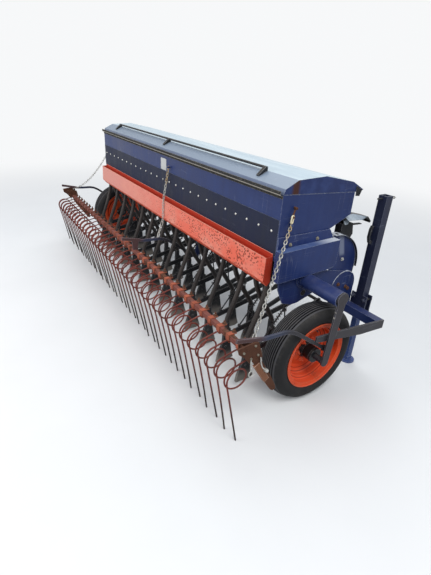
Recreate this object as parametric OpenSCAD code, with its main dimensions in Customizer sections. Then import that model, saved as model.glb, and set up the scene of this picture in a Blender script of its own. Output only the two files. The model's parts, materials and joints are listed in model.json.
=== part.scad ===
// Seed drill for a tractor's three-point linkage, 25 rows over a 3 m hopper.
// X runs across the drill, +Y is the direction of travel, Z is up from the ground.
// Every place along Y is counted from the wheel axle, and shifted once by axle_y.

/* [Hopper] */
// Number of seed rows
rows = 25; // [9:2:25]
// Distance between two rows
row_pitch = 120; // [100:1:125]
// Length that the hopper has beyond the outer rows, per side
hopper_end_margin = 60; // [50:1:90]
// Thickness of the hopper's sheet
sheet_t = 3; // [2:0.5:5]
// Height of the hopper's rear rim
rim_z = 1290; // [1240:1:1340]
// Height of the upper edge of the plate on the hopper's lower rear wall
crease_z = 1150; // [1100:1:1200]
// Height of the hopper's throat above the ground
throat_z = 905; // [880:1:930]
// Rear wall, behind the axle
rear_wall_y = -205; // [-225:1:-190]
// Front wall, in front of the axle
front_wall_y = 372; // [340:1:420]
// Rise of the lid's ridge above the hopper's rear rim
lid_rise = 83; // [60:1:120]

/* [Frame] */
// Outer diameter of the main cross tube
tube_d = 95; // [70:1:110]
// Wall of the main cross tube
tube_wall = 6; // [4:0.5:10]
// Height of the main cross tube's centre
tube_z = 750; // [730:1:770]
// Side of the square front beam
beam_s = 60; // [50:1:80]
// Wall of the front beam
beam_wall = 6; // [4:0.5:10]
// Centre of the front beam in front of the axle
beam_y = 501; // [490:1:510]
// Height of the front beam's centre
beam_z = 447; // [435:1:465]
// Thickness of the end plates
plate_t = 8; // [5:0.5:12]
// Distance of the wheel arms' outer faces from the middle
arm_face_x = 1833; // [1830:1:1880]

/* [Wheels] */
// Tyre diameter
tyre_d = 660; // [620:1:680]
// Tyre width
tyre_w = 172; // [140:1:176]
// Distance of the wheel's middle plane from the middle
wheel_x = 1680; // [1676:1:1690]
// Diameter of the rim's flange
flange_d = 456; // [420:1:470]
// Diameter of the stub axle
axle_d = 40; // [30:1:50]

/* [Harrow] */
// Distance between two tines
tine_pitch = 100; // [90:1:120]
// Wire of the tines
wire_d = 10; // [7:0.5:12]
// Radius of the tines' coils
coil_r = 65; // [50:1:75]
// Side of the square harrow beam
harrow_s = 30; // [25:1:40]

/* [Stands] */
// Side of the stand's square housing
stand_s = 60; // [50:1:70]
// Side of the sliding leg
leg_s = 42; // [35:1:48]
// Way that the leg slides up
leg_travel = 300; // [200:10:320]

/* [Linkage] */
// Distance between the lower hitch pins' shoulders
hitch_span = 825; // [680:1:870]
// Diameter of the lower hitch pins
hitch_pin_d = 28; // [22:0.1:37]
// Length of a lower hitch pin outside its ear
hitch_pin_l = 90; // [70:1:110]
// Height of the top link's bore above the lower pins
mast_h = 640; // [460:1:690]
// Diameter of the top link's bore
top_bore_d = 25.7; // [19:0.1:32]

/* [Hidden] */

// Named clearances
seat_gap = 0.3;       // between pieces that sit on or in each other
run_gap = 0.05;       // radial gap of a running fit
move_gap = 6;         // between pieces that move past each other
blend_in = 0.1;       // how far a straight side lies inside the round that it runs into

// Places along Y are from the axle, places along Z from the ground
hopper_x = (rows - 1) / 2 * row_pitch + hopper_end_margin;
wheel_r = tyre_d / 2;
main_tube_y = 40;
beam_front_y = beam_y + beam_s / 2;
harrow_pivot = [30, 397];
harrow_beam_c = [-545, 545];
coil_c = [-645, 438];
hitch_y = 660;
hitch_ear_r = 45;
rear_reach = -coil_c[0] + coil_r + wire_d / 2;
front_reach = hitch_y + hitch_ear_r;
axle_y = (rear_reach - front_reach) / 2;

navy = [0.13, 0.17, 0.33];
dark_blue = [0.12, 0.13, 0.20];
orange = [0.85, 0.27, 0.13];
salmon = [0.72, 0.30, 0.25];
rust = [0.42, 0.24, 0.17];
black = [0.08, 0.08, 0.09];
rubber_grey = [0.17, 0.17, 0.18];
galvanised = [0.72, 0.72, 0.70];

// Helpers

// Shifts a piece from the axle's frame into the drill's own frame
module placed() {
    translate([0, axle_y, 0]) children();
}

// Mirrors a right-hand piece to the left when side is -1
module on_side(side) {
    mirror([side < 0 ? 1 : 0, 0, 0]) children();
}

// Extrudes a (Y, Z) outline along X, from x0 to x1
module along_x(x0, x1) {
    translate([x0, 0, 0]) rotate([90, 0, 90]) linear_extrude(x1 - x0) children();
}

// A round bar along X
module bar_x(x0, x1, y, z, d) {
    translate([x0, y, z]) rotate([0, 90, 0]) cylinder(h = x1 - x0, d = d, $fn = 48);
}

// Box between two corners
module block(a, b) {
    translate(a) cube(b - a);
}

// Outline of a flat bar with round ends between two (Y, Z) points, its sides just inside the rounds
module strap(a, b, ra, rb) {
    d = b - a;
    l = norm(d);
    n = [-d[1], d[0]] / l;
    translate(a) circle(r = ra, $fn = 48);
    translate(b) circle(r = rb, $fn = 48);
    s = (ra - rb) / l;
    c = sqrt(1 - s * s);
    u = d / l * s;
    wa = ra - blend_in;
    wb = rb - blend_in;
    polygon([a + wa * (u + n * c), a + wa * (u - n * c), b + wb * (u - n * c), b + wb * (u + n * c)]);
}

function reversed(p) = [for (i = [len(p) - 1:-1:0]) p[i]];
function seg_normal(a, b) = let (d = b - a) [-d[1], d[0]] / norm(d);
// Points of an open path, moved sideways by t with mitred corners
function offset_path(p, t) = [
    for (i = [0:len(p) - 1])
        let (
            n1 = seg_normal(p[max(i - 1, 0)], p[max(i, 1)]),
            n2 = i < len(p) - 1 ? seg_normal(p[i], p[i + 1]) : n1,
            m = n1 + n2
        ) p[i] + t * m * 2 / (m * m)
];
// Closed outline of a bent sheet of thickness t along an open path
function sheet(p, t) = concat(p, reversed(offset_path(p, t)));
// Points of an arc round c, from angle a to angle b in n steps
function arc(c, r, a, b, n) = [for (i = [0:n]) c + r * [cos(a + (b - a) * i / n), sin(a + (b - a) * i / n)]];

function unit(v) = v / norm(v);
function tangent(p, i) = unit(p[min(i + 1, len(p) - 1)] - p[max(i - 1, 0)]);
function ring(c, t, r, n) = let (u = unit(cross(t, [1, 0, 0])), v = cross(t, u))
    [for (j = [0:n - 1]) c + r * (cos(360 * j / n) * u + sin(360 * j / n) * v)];
// A wire or hose with n sides along 3-D points
module sweep(p, r, n) {
    last = len(p) - 1;
    points = [for (i = [0:last]) each ring(p[i], tangent(p, i), r, n)];
    sides = [
        for (i = [0:last - 1]) for (j = [0:n - 1])
            [i * n + j, (i + 1) * n + j, (i + 1) * n + (j + 1) % n, i * n + (j + 1) % n]
    ];
    polyhedron(points, concat(sides, [[for (j = [0:n - 1]) j], [for (j = [n - 1:-1:0]) last * n + j]]));
}

// Frame

module front_beam() {
    front_beam_x = outrigger_x - seat_gap;
    color(navy) placed() difference() {
        block(
            [-front_beam_x, beam_y - beam_s / 2, beam_z - beam_s / 2],
            [front_beam_x, beam_y + beam_s / 2, beam_z + beam_s / 2]
        );
        block(
            [-front_beam_x - 1, beam_y - beam_s / 2 + beam_wall, beam_z - beam_s / 2 + beam_wall],
            [front_beam_x + 1, beam_y + beam_s / 2 - beam_wall, beam_z + beam_s / 2 - beam_wall]
        );
    }
}

mast_t = 15;
mast_gap = 80;
mast_y = hitch_y - 40;

module headstock() {
    ear_inner_x = hitch_span / 2 - mast_t;
    top_z = beam_z + mast_h;
    color(navy) placed() {
        // lower ears with their pins
        for (side = [-1, 1]) on_side(side) {
            along_x(ear_inner_x, ear_inner_x + mast_t) union() {
                translate([hitch_y, beam_z]) circle(r = hitch_ear_r, $fn = 48);
                polygon([
                    [beam_front_y + seat_gap, beam_z - beam_s / 2],
                    [hitch_y, beam_z - hitch_ear_r],
                    [hitch_y, beam_z + hitch_ear_r],
                    [beam_front_y + seat_gap, beam_z + beam_s / 2 + 60]
                ]);
            }
            bar_x(hitch_span / 2, hitch_span / 2 + hitch_pin_l, hitch_y, beam_z, hitch_pin_d);
        }
        // mast of two plates with the top link's bore
        for (side = [-1, 1]) on_side(side)
            along_x(mast_gap / 2, mast_gap / 2 + mast_t) difference() {
                union() {
                    translate([mast_y, top_z]) circle(r = 38, $fn = 48);
                    polygon([
                        [beam_front_y + seat_gap, beam_z - beam_s / 2],
                        [beam_front_y + 90, beam_z - beam_s / 2],
                        [mast_y + 38, top_z],
                        [mast_y - 38, top_z]
                    ]);
                }
                translate([mast_y, top_z]) circle(d = top_bore_d, $fn = 48);
            }
        // spacer between the mast's plates
        block(
            [-mast_gap / 2, beam_front_y + 20, beam_z + 180],
            [mast_gap / 2, beam_front_y + 60, beam_z + 230]
        );
    }
}

// The tube carries a hanger with the pin of the middle harrow arm, and a bearing of the rockshaft
module main_tube() {
    hanger_x = mid_x + harrow_arm_t + move_gap;
    color(navy) placed() {
        difference() {
            union() {
                bar_x(-tube_end_x, tube_end_x, main_tube_y, tube_z, tube_d);
                along_x(hanger_x, hanger_x + plate_t) {
                    translate([main_tube_y, tube_z]) circle(d = tube_d + 20, $fn = 64);
                    strap([main_tube_y, tube_z], rock_c, tube_d / 2, rock_d / 2 + 12);
                    strap(rock_c, harrow_pivot, rock_d / 2 + 12, pivot_eye_r);
                }
            }
            bar_x(-tube_end_x - 1, tube_end_x + 1, main_tube_y, tube_z, tube_d - 2 * tube_wall);
            bar_x(hanger_x - 1, hanger_x + plate_t + 1, rock_c[0], rock_c[1], rock_d + 2 * seat_gap);
        }
        bar_x(mid_x - 8, hanger_x, harrow_pivot[0], harrow_pivot[1], pivot_d);
    }
}

// End plate under the hopper, in (Y, Z)
seam_z = 1050;
end_plate_outline = [
    [rear_wall_y, seam_z], [rear_wall_y, 945], [-165, 930], [-158, 710], [-110, 608],
    [-31, 581], [20, 583], [159, 630], [176, 678], [250, 800], [250, 985], [205, seam_z]
];

end_plate_x = hopper_x + seat_gap;
outer_plate_x = end_plate_x + plate_t + seat_gap;

module end_frame(side) {
    color(navy) placed() on_side(side) along_x(end_plate_x, end_plate_x + plate_t) difference() {
        polygon(end_plate_outline);
        translate([main_tube_y, tube_z]) circle(d = tube_d + 2 * seat_gap, $fn = 64);
        translate(rock_c) circle(d = rock_d + 2 * seat_gap, $fn = 48);
        translate(meter_shaft_c) circle(d = meter_shaft_d + 2 * seat_gap, $fn = 32);
    }
}

// Plate that ties the main tube to the front beam
bracket_c = [424, 618];
bracket_r = 113;
bracket_top_r = tube_d / 2 + 12;
module beam_bracket(side) {
    x0 = outer_plate_x;
    x1 = x0 + plate_t;
    color(navy) placed() on_side(side) difference() {
        union() {
            along_x(x0, x1) strap([main_tube_y, tube_z], bracket_c, bracket_top_r, bracket_r);
            along_x(x0, x1) polygon([
                bracket_c + [-70, -60], bracket_c + [bracket_r - 4, -10],
                [beam_y + beam_s / 2 + 10, beam_z - beam_s / 2 - 10],
                [beam_y - beam_s / 2 - 20, beam_z - beam_s / 2 - 10]
            ]);
        }
        bar_x(x0 - 1, x1 + 1, main_tube_y, tube_z, tube_d + 2 * seat_gap);
        along_x(x0 - 1, x1 + 1) translate([beam_y, beam_z]) square(beam_s + 2 * seat_gap, center = true);
    }
}

// Hopper

front_rim_z = rim_z - 28;
front_knee_z = 1124;
throat_w = 95;
hopper_path = [
    [rear_wall_y, rim_z], [rear_wall_y, throat_z], [rear_wall_y + throat_w, throat_z],
    [front_wall_y, front_knee_z], [front_wall_y, front_rim_z]
];

// Studs that the harrow's chains hang on
stud_d = 12;
stud_drop = stud_d / 2 + 2.4;

module hopper() {
    color(navy) placed() {
        along_x(-hopper_x + sheet_t, hopper_x - sheet_t) polygon(sheet(hopper_path, sheet_t));
        for (side = [-1, 1]) on_side(side) {
            along_x(hopper_x - sheet_t, hopper_x) polygon(hopper_path);
            stud = chain_top - unit(chain_low - chain_top) * stud_drop;
            bar_x(hopper_x - 1, chain_top[0] + 12, stud[1], stud[2], stud_d);
        }
        translate([mid_chain_x, rear_wall_y + 1, mid_chain_top_z + stud_d / 2 + 0.5]) rotate([90, 0, 0])
            cylinder(h = chain_off + 13, d = stud_d, $fn = 32);
        // knuckles and pins of the lid's hinges
        for (x = hinge_x) {
            along_x(x - knuckle_w, x + knuckle_w) {
                translate(lid_hinge) circle(d = hinge_d, $fn = 32);
                polygon([
                    [front_wall_y - 1, front_rim_z - 50], [front_wall_y - 1, front_rim_z - 14],
                    [front_wall_y + 18, front_rim_z - 7], lid_hinge + [0, hinge_d / 2 - 1],
                    lid_hinge + [hinge_d / 2 - 1, -2]
                ]);
            }
            bar_x(x - knuckle_w - 14, x + knuckle_w + 14, lid_hinge[0], lid_hinge[1], hinge_pin_d);
        }
    }
}

// Bent rail along the top of the hopper's rear wall
module hopper_gutter() {
    y = rear_wall_y - seat_gap;
    color(rust) placed() along_x(-hopper_x, hopper_x)
        polygon(sheet([[y, rim_z - 22], [y, rim_z - 5], [y - 18, rim_z + 1], [y - 18, rim_z + 22]], 2.5));
}

// Plate on the lower part of the hopper's rear wall, above the metering units
band_t = 2;
band_low_z = 933;
band_inset = 4;
module outlet_band() {
    color(dark_blue) placed() block(
        [-hopper_x + band_inset, rear_wall_y - seat_gap - band_t, band_low_z],
        [hopper_x - band_inset, rear_wall_y - seat_gap, crease_z]
    );
}

meter_shaft_c = [-150, 862];
meter_shaft_d = 18;
spout_y = -188;
spout_z = 762;
meter_w = 64;
hose_d = 36;
row_x = [for (i = [0:rows - 1]) (i - (rows - 1) / 2) * row_pitch];

module metering_units() {
    top = throat_z - seat_gap;
    color(black) placed() for (x = row_x) difference() {
        union() {
            along_x(x - meter_w / 2, x + meter_w / 2) polygon([
                [rear_wall_y + 5, top], [rear_wall_y + throat_w - 5, top],
                [rear_wall_y + throat_w - 5, 845], [-140, 805], [spout_y + 22, 790],
                [rear_wall_y - 5, 790], [rear_wall_y + 5, 840]
            ]);
            translate([x, spout_y, spout_z]) cylinder(h = 30, d = hose_d + 8, $fn = 32);
        }
        bar_x(x - meter_w, x + meter_w, meter_shaft_c[0], meter_shaft_c[1], meter_shaft_d + 2 * seat_gap);
        translate([x, spout_y, spout_z - 1]) cylinder(h = 21, d = hose_d + 2 * seat_gap, $fn = 32);
    }
}

module metering_shaft() {
    x = end_plate_x + plate_t + 20;
    color(galvanised) placed() bar_x(-x, x, meter_shaft_c[0], meter_shaft_c[1], meter_shaft_d);
}

// Calibration tray, stowed as a cover behind the metering units
tray_path = [[rear_wall_y - seat_gap, 929], [rear_wall_y - 19, 929], [-262, 779], [-226, 740]];
tray_x = hopper_x - 20;

module tray() {
    color(orange) placed() {
        along_x(-tray_x + sheet_t, tray_x - sheet_t) polygon(sheet(tray_path, sheet_t));
        for (side = [-1, 1]) on_side(side) along_x(tray_x - sheet_t, tray_x) polygon(tray_path);
    }
}

// Cover of the metering drive on the right-hand end
cover_t = 52;
module gear_cover() {
    x0 = outer_plate_x;
    color(navy) placed() difference() {
        along_x(x0, x0 + cover_t) polygon([
            [-217, 977], [-217, 788], [88, 800], [218, 806], [240, 816], [253, 836], [254, 991]
        ]);
        bar_x(x0 - 1, x0 + cover_t - sheet_t, meter_shaft_c[0], meter_shaft_c[1], meter_shaft_d + 60);
        along_x(x0 - 1, x0 + plate_t + seat_gap) strap(
            [main_tube_y, tube_z], bracket_c, bracket_top_r + 2 * seat_gap, bracket_r + 2 * seat_gap
        );
        bar_x(x0 - 1, x0 + cover_t + 1, main_tube_y, tube_z, tube_d + 2 * seat_gap);
    }
}

// Rounded guard of the drive chain, with a deep rim
guard_rim_w = 45;
guard_lip = 18;
guard_c = [271, 771];
guard_r = 235;
guard_rear_y = 250 + seat_gap;
module chain_guard() {
    x1 = end_plate_x + plate_t;
    top_z = guard_c[1] + guard_r;
    low_y = guard_c[0] + guard_r - 8;
    rim = concat([[guard_rear_y, top_z]], arc(guard_c, guard_r, 85, 0, 12), [[low_y, 640]]);
    lip = concat([[guard_rear_y, top_z]], arc(guard_c, guard_r, 85, -4, 12));
    color(navy) placed() {
        along_x(x1 - sheet_t, x1)
            polygon(concat(rim, [[low_y - 150, 640], [300, 700], [guard_rear_y, 780]]));
        along_x(x1 - guard_rim_w, x1 - sheet_t) polygon(sheet(rim, -4));
        along_x(x1 - sheet_t, x1 + guard_lip) polygon(sheet(lip, -4));
    }
}

// Stepless gearbox in front of the hopper, under its sloping cover
gearbox_w = 70;
gearbox_inset = 40;
gearbox_x = [hopper_x - gearbox_inset - gearbox_w, hopper_x - gearbox_inset];
module rate_gearbox() {
    rear_y = front_wall_y + seat_gap;
    color(black) placed() {
        along_x(gearbox_x[0], gearbox_x[1]) polygon([
            [rear_y, 1098], [450, 1103], [612, 1064], [648, 1034], [644, 1022],
            [600, 1030], [570, 900], [430, 890], [rear_y, 960]
        ]);
        // foot on the front beam
        along_x(gearbox_x[0] + 30, gearbox_x[0] + 40) polygon([
            [440, 900], [560, 900], [beam_y + 25, beam_z + beam_s / 2 + seat_gap],
            [beam_y - 25, beam_z + beam_s / 2 + seat_gap]
        ]);
    }
}

// Wheels and their arms

wheel_arm_t = 12;
tube_end_x = arm_face_x - wheel_arm_t - seat_gap;
hub_l = 120;

module wheel_arm(side) {
    x0 = arm_face_x - wheel_arm_t;
    color(dark_blue) placed() on_side(side) {
        along_x(x0, arm_face_x) union() {
            translate([main_tube_y + 5, tube_z + 3]) circle(r = 42, $fn = 64);
            strap([main_tube_y + 5, tube_z + 3], [0, wheel_r], 30, 27);
        }
        bar_x(wheel_x - hub_l / 2 - 20, x0, 0, wheel_r, axle_d);
    }
}

tyre_bead_r = 205;
shoulder_r = 28;

// Half section of the tyre as (radius, distance from the wheel's middle plane)
module tyre_section() {
    hw = tyre_w / 2;
    // middle of the shoulder's round
    round_r = wheel_r - 14 - shoulder_r;
    round_x = hw - shoulder_r;
    polygon(concat(
        [[tyre_bead_r, -65.5], [flange_d / 2 + 1, -69], [tyre_bead_r + 42, -hw + 2]],
        [for (a = [0:15:90]) [round_r + shoulder_r * sin(a), -round_x - shoulder_r * cos(a)]],
        [for (i = [0:8]) let (x = (i / 8 - 0.5) * (tyre_w - 2 * shoulder_r) * 0.98)
            [wheel_r - 12 * pow(x / round_x, 2), x]],
        [for (a = [90:-15:0]) [round_r + shoulder_r * sin(a), round_x + shoulder_r * cos(a)]],
        [[tyre_bead_r + 42, hw - 2], [flange_d / 2 + 1, 69], [tyre_bead_r, 65.5]]
    ));
}

module tyre(side) {
    color(rubber_grey) placed() on_side(side) translate([wheel_x, 0, wheel_r]) rotate([0, 90, 0])
        rotate_extrude($fn = 96) tyre_section();
}

rim_t = 5;
module rim(side) {
    fr = flange_d / 2;
    hub_r = 48;
    well = [
        [78, fr], [70, fr - 2], [66, tyre_bead_r - seat_gap], [28, tyre_bead_r - 2],
        [20, tyre_bead_r - 22], [-20, tyre_bead_r - 22], [-28, tyre_bead_r - 2],
        [-66, tyre_bead_r - seat_gap], [-70, fr - 2], [-78, fr]
    ];
    disc = [[-10, tyre_bead_r - 25], [-30, 160], [-34, 125], [-20, 92], [-16, hub_r - 2]];
    color(orange) placed() on_side(side) translate([wheel_x, 0, wheel_r]) rotate([0, 90, 0]) {
        rotate_extrude($fn = 96) polygon([for (q = sheet(well, rim_t)) [q[1], q[0]]]);
        rotate_extrude($fn = 96) polygon([for (q = sheet(disc, -6)) [q[1], q[0]]]);
        rotate_extrude($fn = 96)
            translate([axle_d / 2 + run_gap, -hub_l / 2]) square([hub_r - axle_d / 2 - run_gap, hub_l]);
    }
}

// Bar from the front beam's end, back past the wheel to the harrow's pivot
outrigger_t = 12;
outrigger_x = arm_face_x - wheel_arm_t - move_gap - outrigger_t;
module outrigger(side) {
    nose_y = beam_y + beam_s / 2 + 1;
    root = [harrow_pivot[0], 497];
    color(dark_blue) placed() on_side(side) {
        along_x(outrigger_x, outrigger_x + outrigger_t) union() {
            polygon([
                [-90, 493], [-29, 484], [311, 431], [nose_y, beam_z - beam_s / 2],
                [nose_y, beam_z + beam_s / 2], [69, 521], [-93, 532]
            ]);
            strap(root, harrow_pivot, pivot_eye_r, pivot_eye_r);
        }
        bar_x(harrow_arm_x - 8, outrigger_x + 1, harrow_pivot[0], harrow_pivot[1], pivot_d);
    }
}

// Parking stands

stand_x = 1587;
stand_y = beam_front_y + seat_gap + stand_s / 2;
stand_top = 1246;
stand_bottom = 400;
leg_gap = 0.8;
clamp_t = 8;
clamp_w = 126;
clamp_z = [beam_z - beam_s / 2, beam_z + beam_s / 2 + 85];

module stand_housing(side) {
    h = stand_s / 2;
    inner = leg_s / 2 + leg_gap;
    color(navy) placed() on_side(side) difference() {
        union() {
            block([stand_x - h, stand_y - h, stand_bottom], [stand_x + h, stand_y + h, stand_top]);
            // clamp plates round the post, bolted to the front beam
            for (y = [stand_y - h, stand_y + h - clamp_t]) block(
                [stand_x - clamp_w / 2, y, clamp_z[0]], [stand_x + clamp_w / 2, y + clamp_t, clamp_z[1]]
            );
        }
        block(
            [stand_x - inner, stand_y - inner, stand_bottom - 1],
            [stand_x + inner, stand_y + inner, stand_top + 1]
        );
    }
}

foot_d = 110;
foot_t = 10;
module stand_leg(side) {
    h = leg_s / 2;
    color([0.20, 0.28, 0.55]) placed() on_side(side) {
        block([stand_x - h, stand_y - h, foot_t], [stand_x + h, stand_y + h, stand_top - leg_travel - 40]);
        translate([stand_x, stand_y, 0]) cylinder(h = foot_t, d = foot_d, $fn = 48);
    }
}

// Coulters

rail_c = [420, 415];
rail_d = 24;
rock_c = [60, 645];
rock_d = 40;
rear_shoe_y = -300;
front_shoe_y = -5;
arm_t = 10;
eye_rail_r = 22;
eye_low_r = 18;
shoe_t = 18;
shoe_z = 40;

rear_x = [for (i = [0:2:rows - 1]) row_x[i]];
front_x = [for (i = [1:2:rows - 1]) row_x[i]];

module coulter_rail() {
    color(black) placed() {
        bar_x(-hopper_x, hopper_x, rail_c[0], rail_c[1], rail_d);
        for (k = [0:3]) let (x = row_x[round(k * (rows - 2) / 3)] + 0.6 * row_pitch)
            along_x(x - 6, x + 6) polygon([
                [rail_c[0] - 16, rail_c[1] - 20], [beam_front_y - 10, rail_c[1] - 20],
                [beam_front_y - 10, beam_z - beam_s / 2 - seat_gap],
                [rail_c[0] - 16, beam_z - beam_s / 2 - seat_gap]
            ]);
    }
}

module rockshaft() {
    x = end_plate_x + plate_t;
    color(black) placed() bar_x(-x, x, rock_c[0], rock_c[1], rock_d);
}

// Drag arm beside its shoe: arm at x + shoe_t / 2, with its eye round the rail
module drag_arm(x, end_c) {
    along_x(x + shoe_t / 2, x + shoe_t / 2 + arm_t) difference() {
        strap(rail_c, end_c, eye_rail_r, eye_low_r);
        translate(rail_c) circle(d = rail_d + 2 * seat_gap, $fn = 32);
    }
}

function arm_end(shoe_y) = [shoe_y + 15, 262];

module coulter_arms(xs, shoe_y) {
    color(black) placed() for (x = xs) drag_arm(x, arm_end(shoe_y));
}

// Shoe coulter: a forward-curved point under a round holder for the seed hose
module shoe(x, y) {
    along_x(x - shoe_t / 2, x + shoe_t / 2) polygon([
        [y - 22, 300], [y - 24, 200], [y - 60, 90], [y - 66, shoe_z], [y + 40, shoe_z],
        [y + 70, shoe_z + 14], [y + 52, 110], [y + 36, 200], [y + 34, 300]
    ]);
    translate([x, y, 290]) difference() {
        cylinder(h = 70, d = hose_d + 8, $fn = 32);
        translate([0, 0, 20]) cylinder(h = 51, d = hose_d + 2 * seat_gap, $fn = 32);
    }
}

module coulter_shoes(xs, y) {
    color(black) placed() for (x = xs) shoe(x, y);
}

// Height of a drag arm's upper edge at y, for the arm that ends at e
function arm_top(y, e) = let (
    f = (y - e[0]) / (rail_c[0] - e[0]),
    slope = (rail_c[1] - e[1]) / (rail_c[0] - e[0])
) e[1] + f * (rail_c[1] - e[1]) + (eye_low_r + f * (eye_rail_r - eye_low_r)) * sqrt(1 + slope * slope);

rod_d = 10;
rod_foot_r = 7;
spring_d = 28;

// Pressure rod with its spring, from the rockshaft down to a drag arm
module pressure_rod(x, y, e) {
    low = [y, arm_top(y, e) + rod_foot_r + 3 * seat_gap];
    d = rock_c - low;
    l = norm(d) - rock_d / 2 - seat_gap;
    translate([x + shoe_t / 2 + arm_t / 2, low[0], low[1]]) rotate([-atan2(d[0], d[1]), 0, 0]) {
        sphere(r = rod_foot_r, $fn = 24);
        cylinder(h = l, d = rod_d, $fn = 24);
        translate([0, 0, l * 0.3]) cylinder(h = l * 0.5, d = spring_d, $fn = 32);
    }
}

module pressure_springs() {
    color(black) placed() {
        for (x = rear_x) pressure_rod(x, -200, arm_end(rear_shoe_y));
        for (x = front_x) pressure_rod(x, 110, arm_end(front_shoe_y));
    }
}

// Seed hose from the metering unit's spout down into the shoe's holder
module hose(x, y) {
    top = spout_z + 20 - seat_gap;
    low = 311;
    sweep([
        [x, spout_y, top], [x, spout_y, top - 50], [x, spout_y + (y - spout_y) * 0.15, 640],
        [x, spout_y + (y - spout_y) * 0.5, 520], [x, y + (spout_y - y) * 0.15, 420], [x, y, 365], [x, y, low]
    ], hose_d / 2, 8);
}

module seed_tubes(xs, y) {
    color(rubber_grey) placed() for (x = xs) hose(x, y);
}

// Chains

link_l = 34;
link_w = 22;
link_t = 6;
link_hole_r = link_w / 2 - link_t;
// How much of a link's round hole its neighbour's corners leave unused
link_rest = link_hole_r - sqrt(pow(link_hole_r, 2) - pow(link_t / 2, 2));
link_pitch = link_l - 2 * link_t - 2 * link_rest - 3 * seat_gap;

// Flat link along +Z, centred
module link() {
    rotate([90, 0, 0]) linear_extrude(link_t, center = true) difference() {
        union() {
            for (s = [-1, 1]) translate([0, s * (link_l - link_w) / 2]) circle(d = link_w, $fn = 32);
            square([link_w - 2 * blend_in, link_l - link_w], center = true);
        }
        union() {
            for (s = [-1, 1]) translate([0, s * (link_l - link_w) / 2]) circle(r = link_hole_r, $fn = 24);
            square([link_w - 2 * link_t - 2 * blend_in, link_l - link_w], center = true);
        }
    }
}

function path_length(p, i = 0) = i >= len(p) - 1 ? 0 : norm(p[i + 1] - p[i]) + path_length(p, i + 1);
// Point at distance s along an open path
function point_at(p, s, i = 0) = let (l = norm(p[i + 1] - p[i]))
    s <= l || i >= len(p) - 2 ? p[i] + (p[i + 1] - p[i]) * (s / l) : point_at(p, s - l, i + 1);

// Links hooked into each other along a path, every other one turned by a quarter
module chain(path) {
    free = path_length(path) - link_l;
    n = ceil(free / link_pitch);
    for (i = [0:n]) let (
        s = link_l / 2 + free * i / n,
        a = point_at(path, s - link_t),
        b = point_at(path, s + link_t),
        d = b - a
    ) translate((a + b) / 2) rotate([0, acos(d[2] / norm(d)), atan2(d[1], d[0])])
        rotate([0, 0, 90 * (i % 2)]) link();
}

chain_top = [hopper_x + 22, -140, 1115];
chain_off = 16;
left_sag = 80;
mid_chain_x = 130;
mid_chain_top_z = 1188;

module chain_right() {
    color(galvanised) placed() chain([chain_top, chain_low]);
}

// The left-hand chain hangs a little slack
module chain_left() {
    color(galvanised) placed() on_side(-1) chain([
        for (i = [0:8]) let (t = i / 8)
            chain_top * (1 - t) + chain_low * t - [0, 0, 4 * left_sag * t * (1 - t)]
    ]);
}

// The middle chain lies over the tray on its way down
module chain_mid() {
    wall = rear_wall_y - chain_off;
    end_x = mid_x + harrow_arm_t / 2;
    color(galvanised) placed() chain([
        [mid_chain_x, wall, mid_chain_top_z], [mid_chain_x, wall, 1010], [mid_chain_x, wall - 6, 965],
        [mid_chain_x, wall - 23, 915], [mid_chain_x + 12, -277, 776], [mid_chain_x + 23, -300, 722],
        [end_x, mid_chain_low[0], mid_chain_low[1]]
    ]);
}

// Lid

lid_low = 1.6;
lid_path = [
    [rear_wall_y, rim_z + lid_low], [rear_wall_y + 12, rim_z + 31], [rear_wall_y + 100, rim_z + 74],
    [rear_wall_y + 310, rim_z + lid_rise], [front_wall_y - 30, rim_z + 36], [front_wall_y + 73, rim_z - 18]
];
lid_hinge = [front_wall_y + 46, front_rim_z];
hinge_x = [-hopper_x + 60, -0.27 * hopper_x, 0.27 * hopper_x, hopper_x - 60];
hinge_d = 22;
hinge_pin_d = 10;
knuckle_w = 18;
skirt_y = front_wall_y + 12;

// Height of the lid's upper face at y, on its front slope
function lid_front_z(y) = let (a = lid_path[4], b = lid_path[5])
    a[1] + (b[1] - a[1]) * (y - a[0]) / (b[0] - a[0]);

module lid() {
    color([0.55, 0.60, 0.72]) placed() {
        along_x(-hopper_x + sheet_t, hopper_x - sheet_t) polygon(sheet(lid_path, -sheet_t));
        for (side = [-1, 1]) on_side(side) along_x(hopper_x - sheet_t, hopper_x) polygon(concat(
            lid_path,
            [lid_path[5] - [9, 3], [lid_hinge[0] - 12, front_rim_z + 10], [skirt_y, front_rim_z + 0.5]]
        ));
        // skirt over the hopper's front rim
        block(
            [-hopper_x + sheet_t, skirt_y - sheet_t, front_rim_z + 0.5],
            [hopper_x - sheet_t, skirt_y, lid_front_z(skirt_y) - 1]
        );
        // straps with the hinges' eyes
        for (x = hinge_x) for (s = [-1, 1]) {
            x0 = x + s * (knuckle_w + 6) - 4;
            along_x(x0, x0 + 8) difference() {
                union() {
                    translate(lid_hinge) circle(d = hinge_d, $fn = 32);
                    polygon([
                        lid_hinge - [hinge_d / 2 - 1, 0], lid_hinge + [hinge_d / 2 - 1, 0],
                        [lid_hinge[0] + 14, lid_front_z(lid_hinge[0] + 14) - 1.5],
                        [lid_hinge[0] - 14, lid_front_z(lid_hinge[0] - 14) - 1.5]
                    ]);
                }
                translate(lid_hinge) circle(d = hinge_pin_d + 2 * run_gap, $fn = 32);
            }
        }
    }
}

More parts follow.
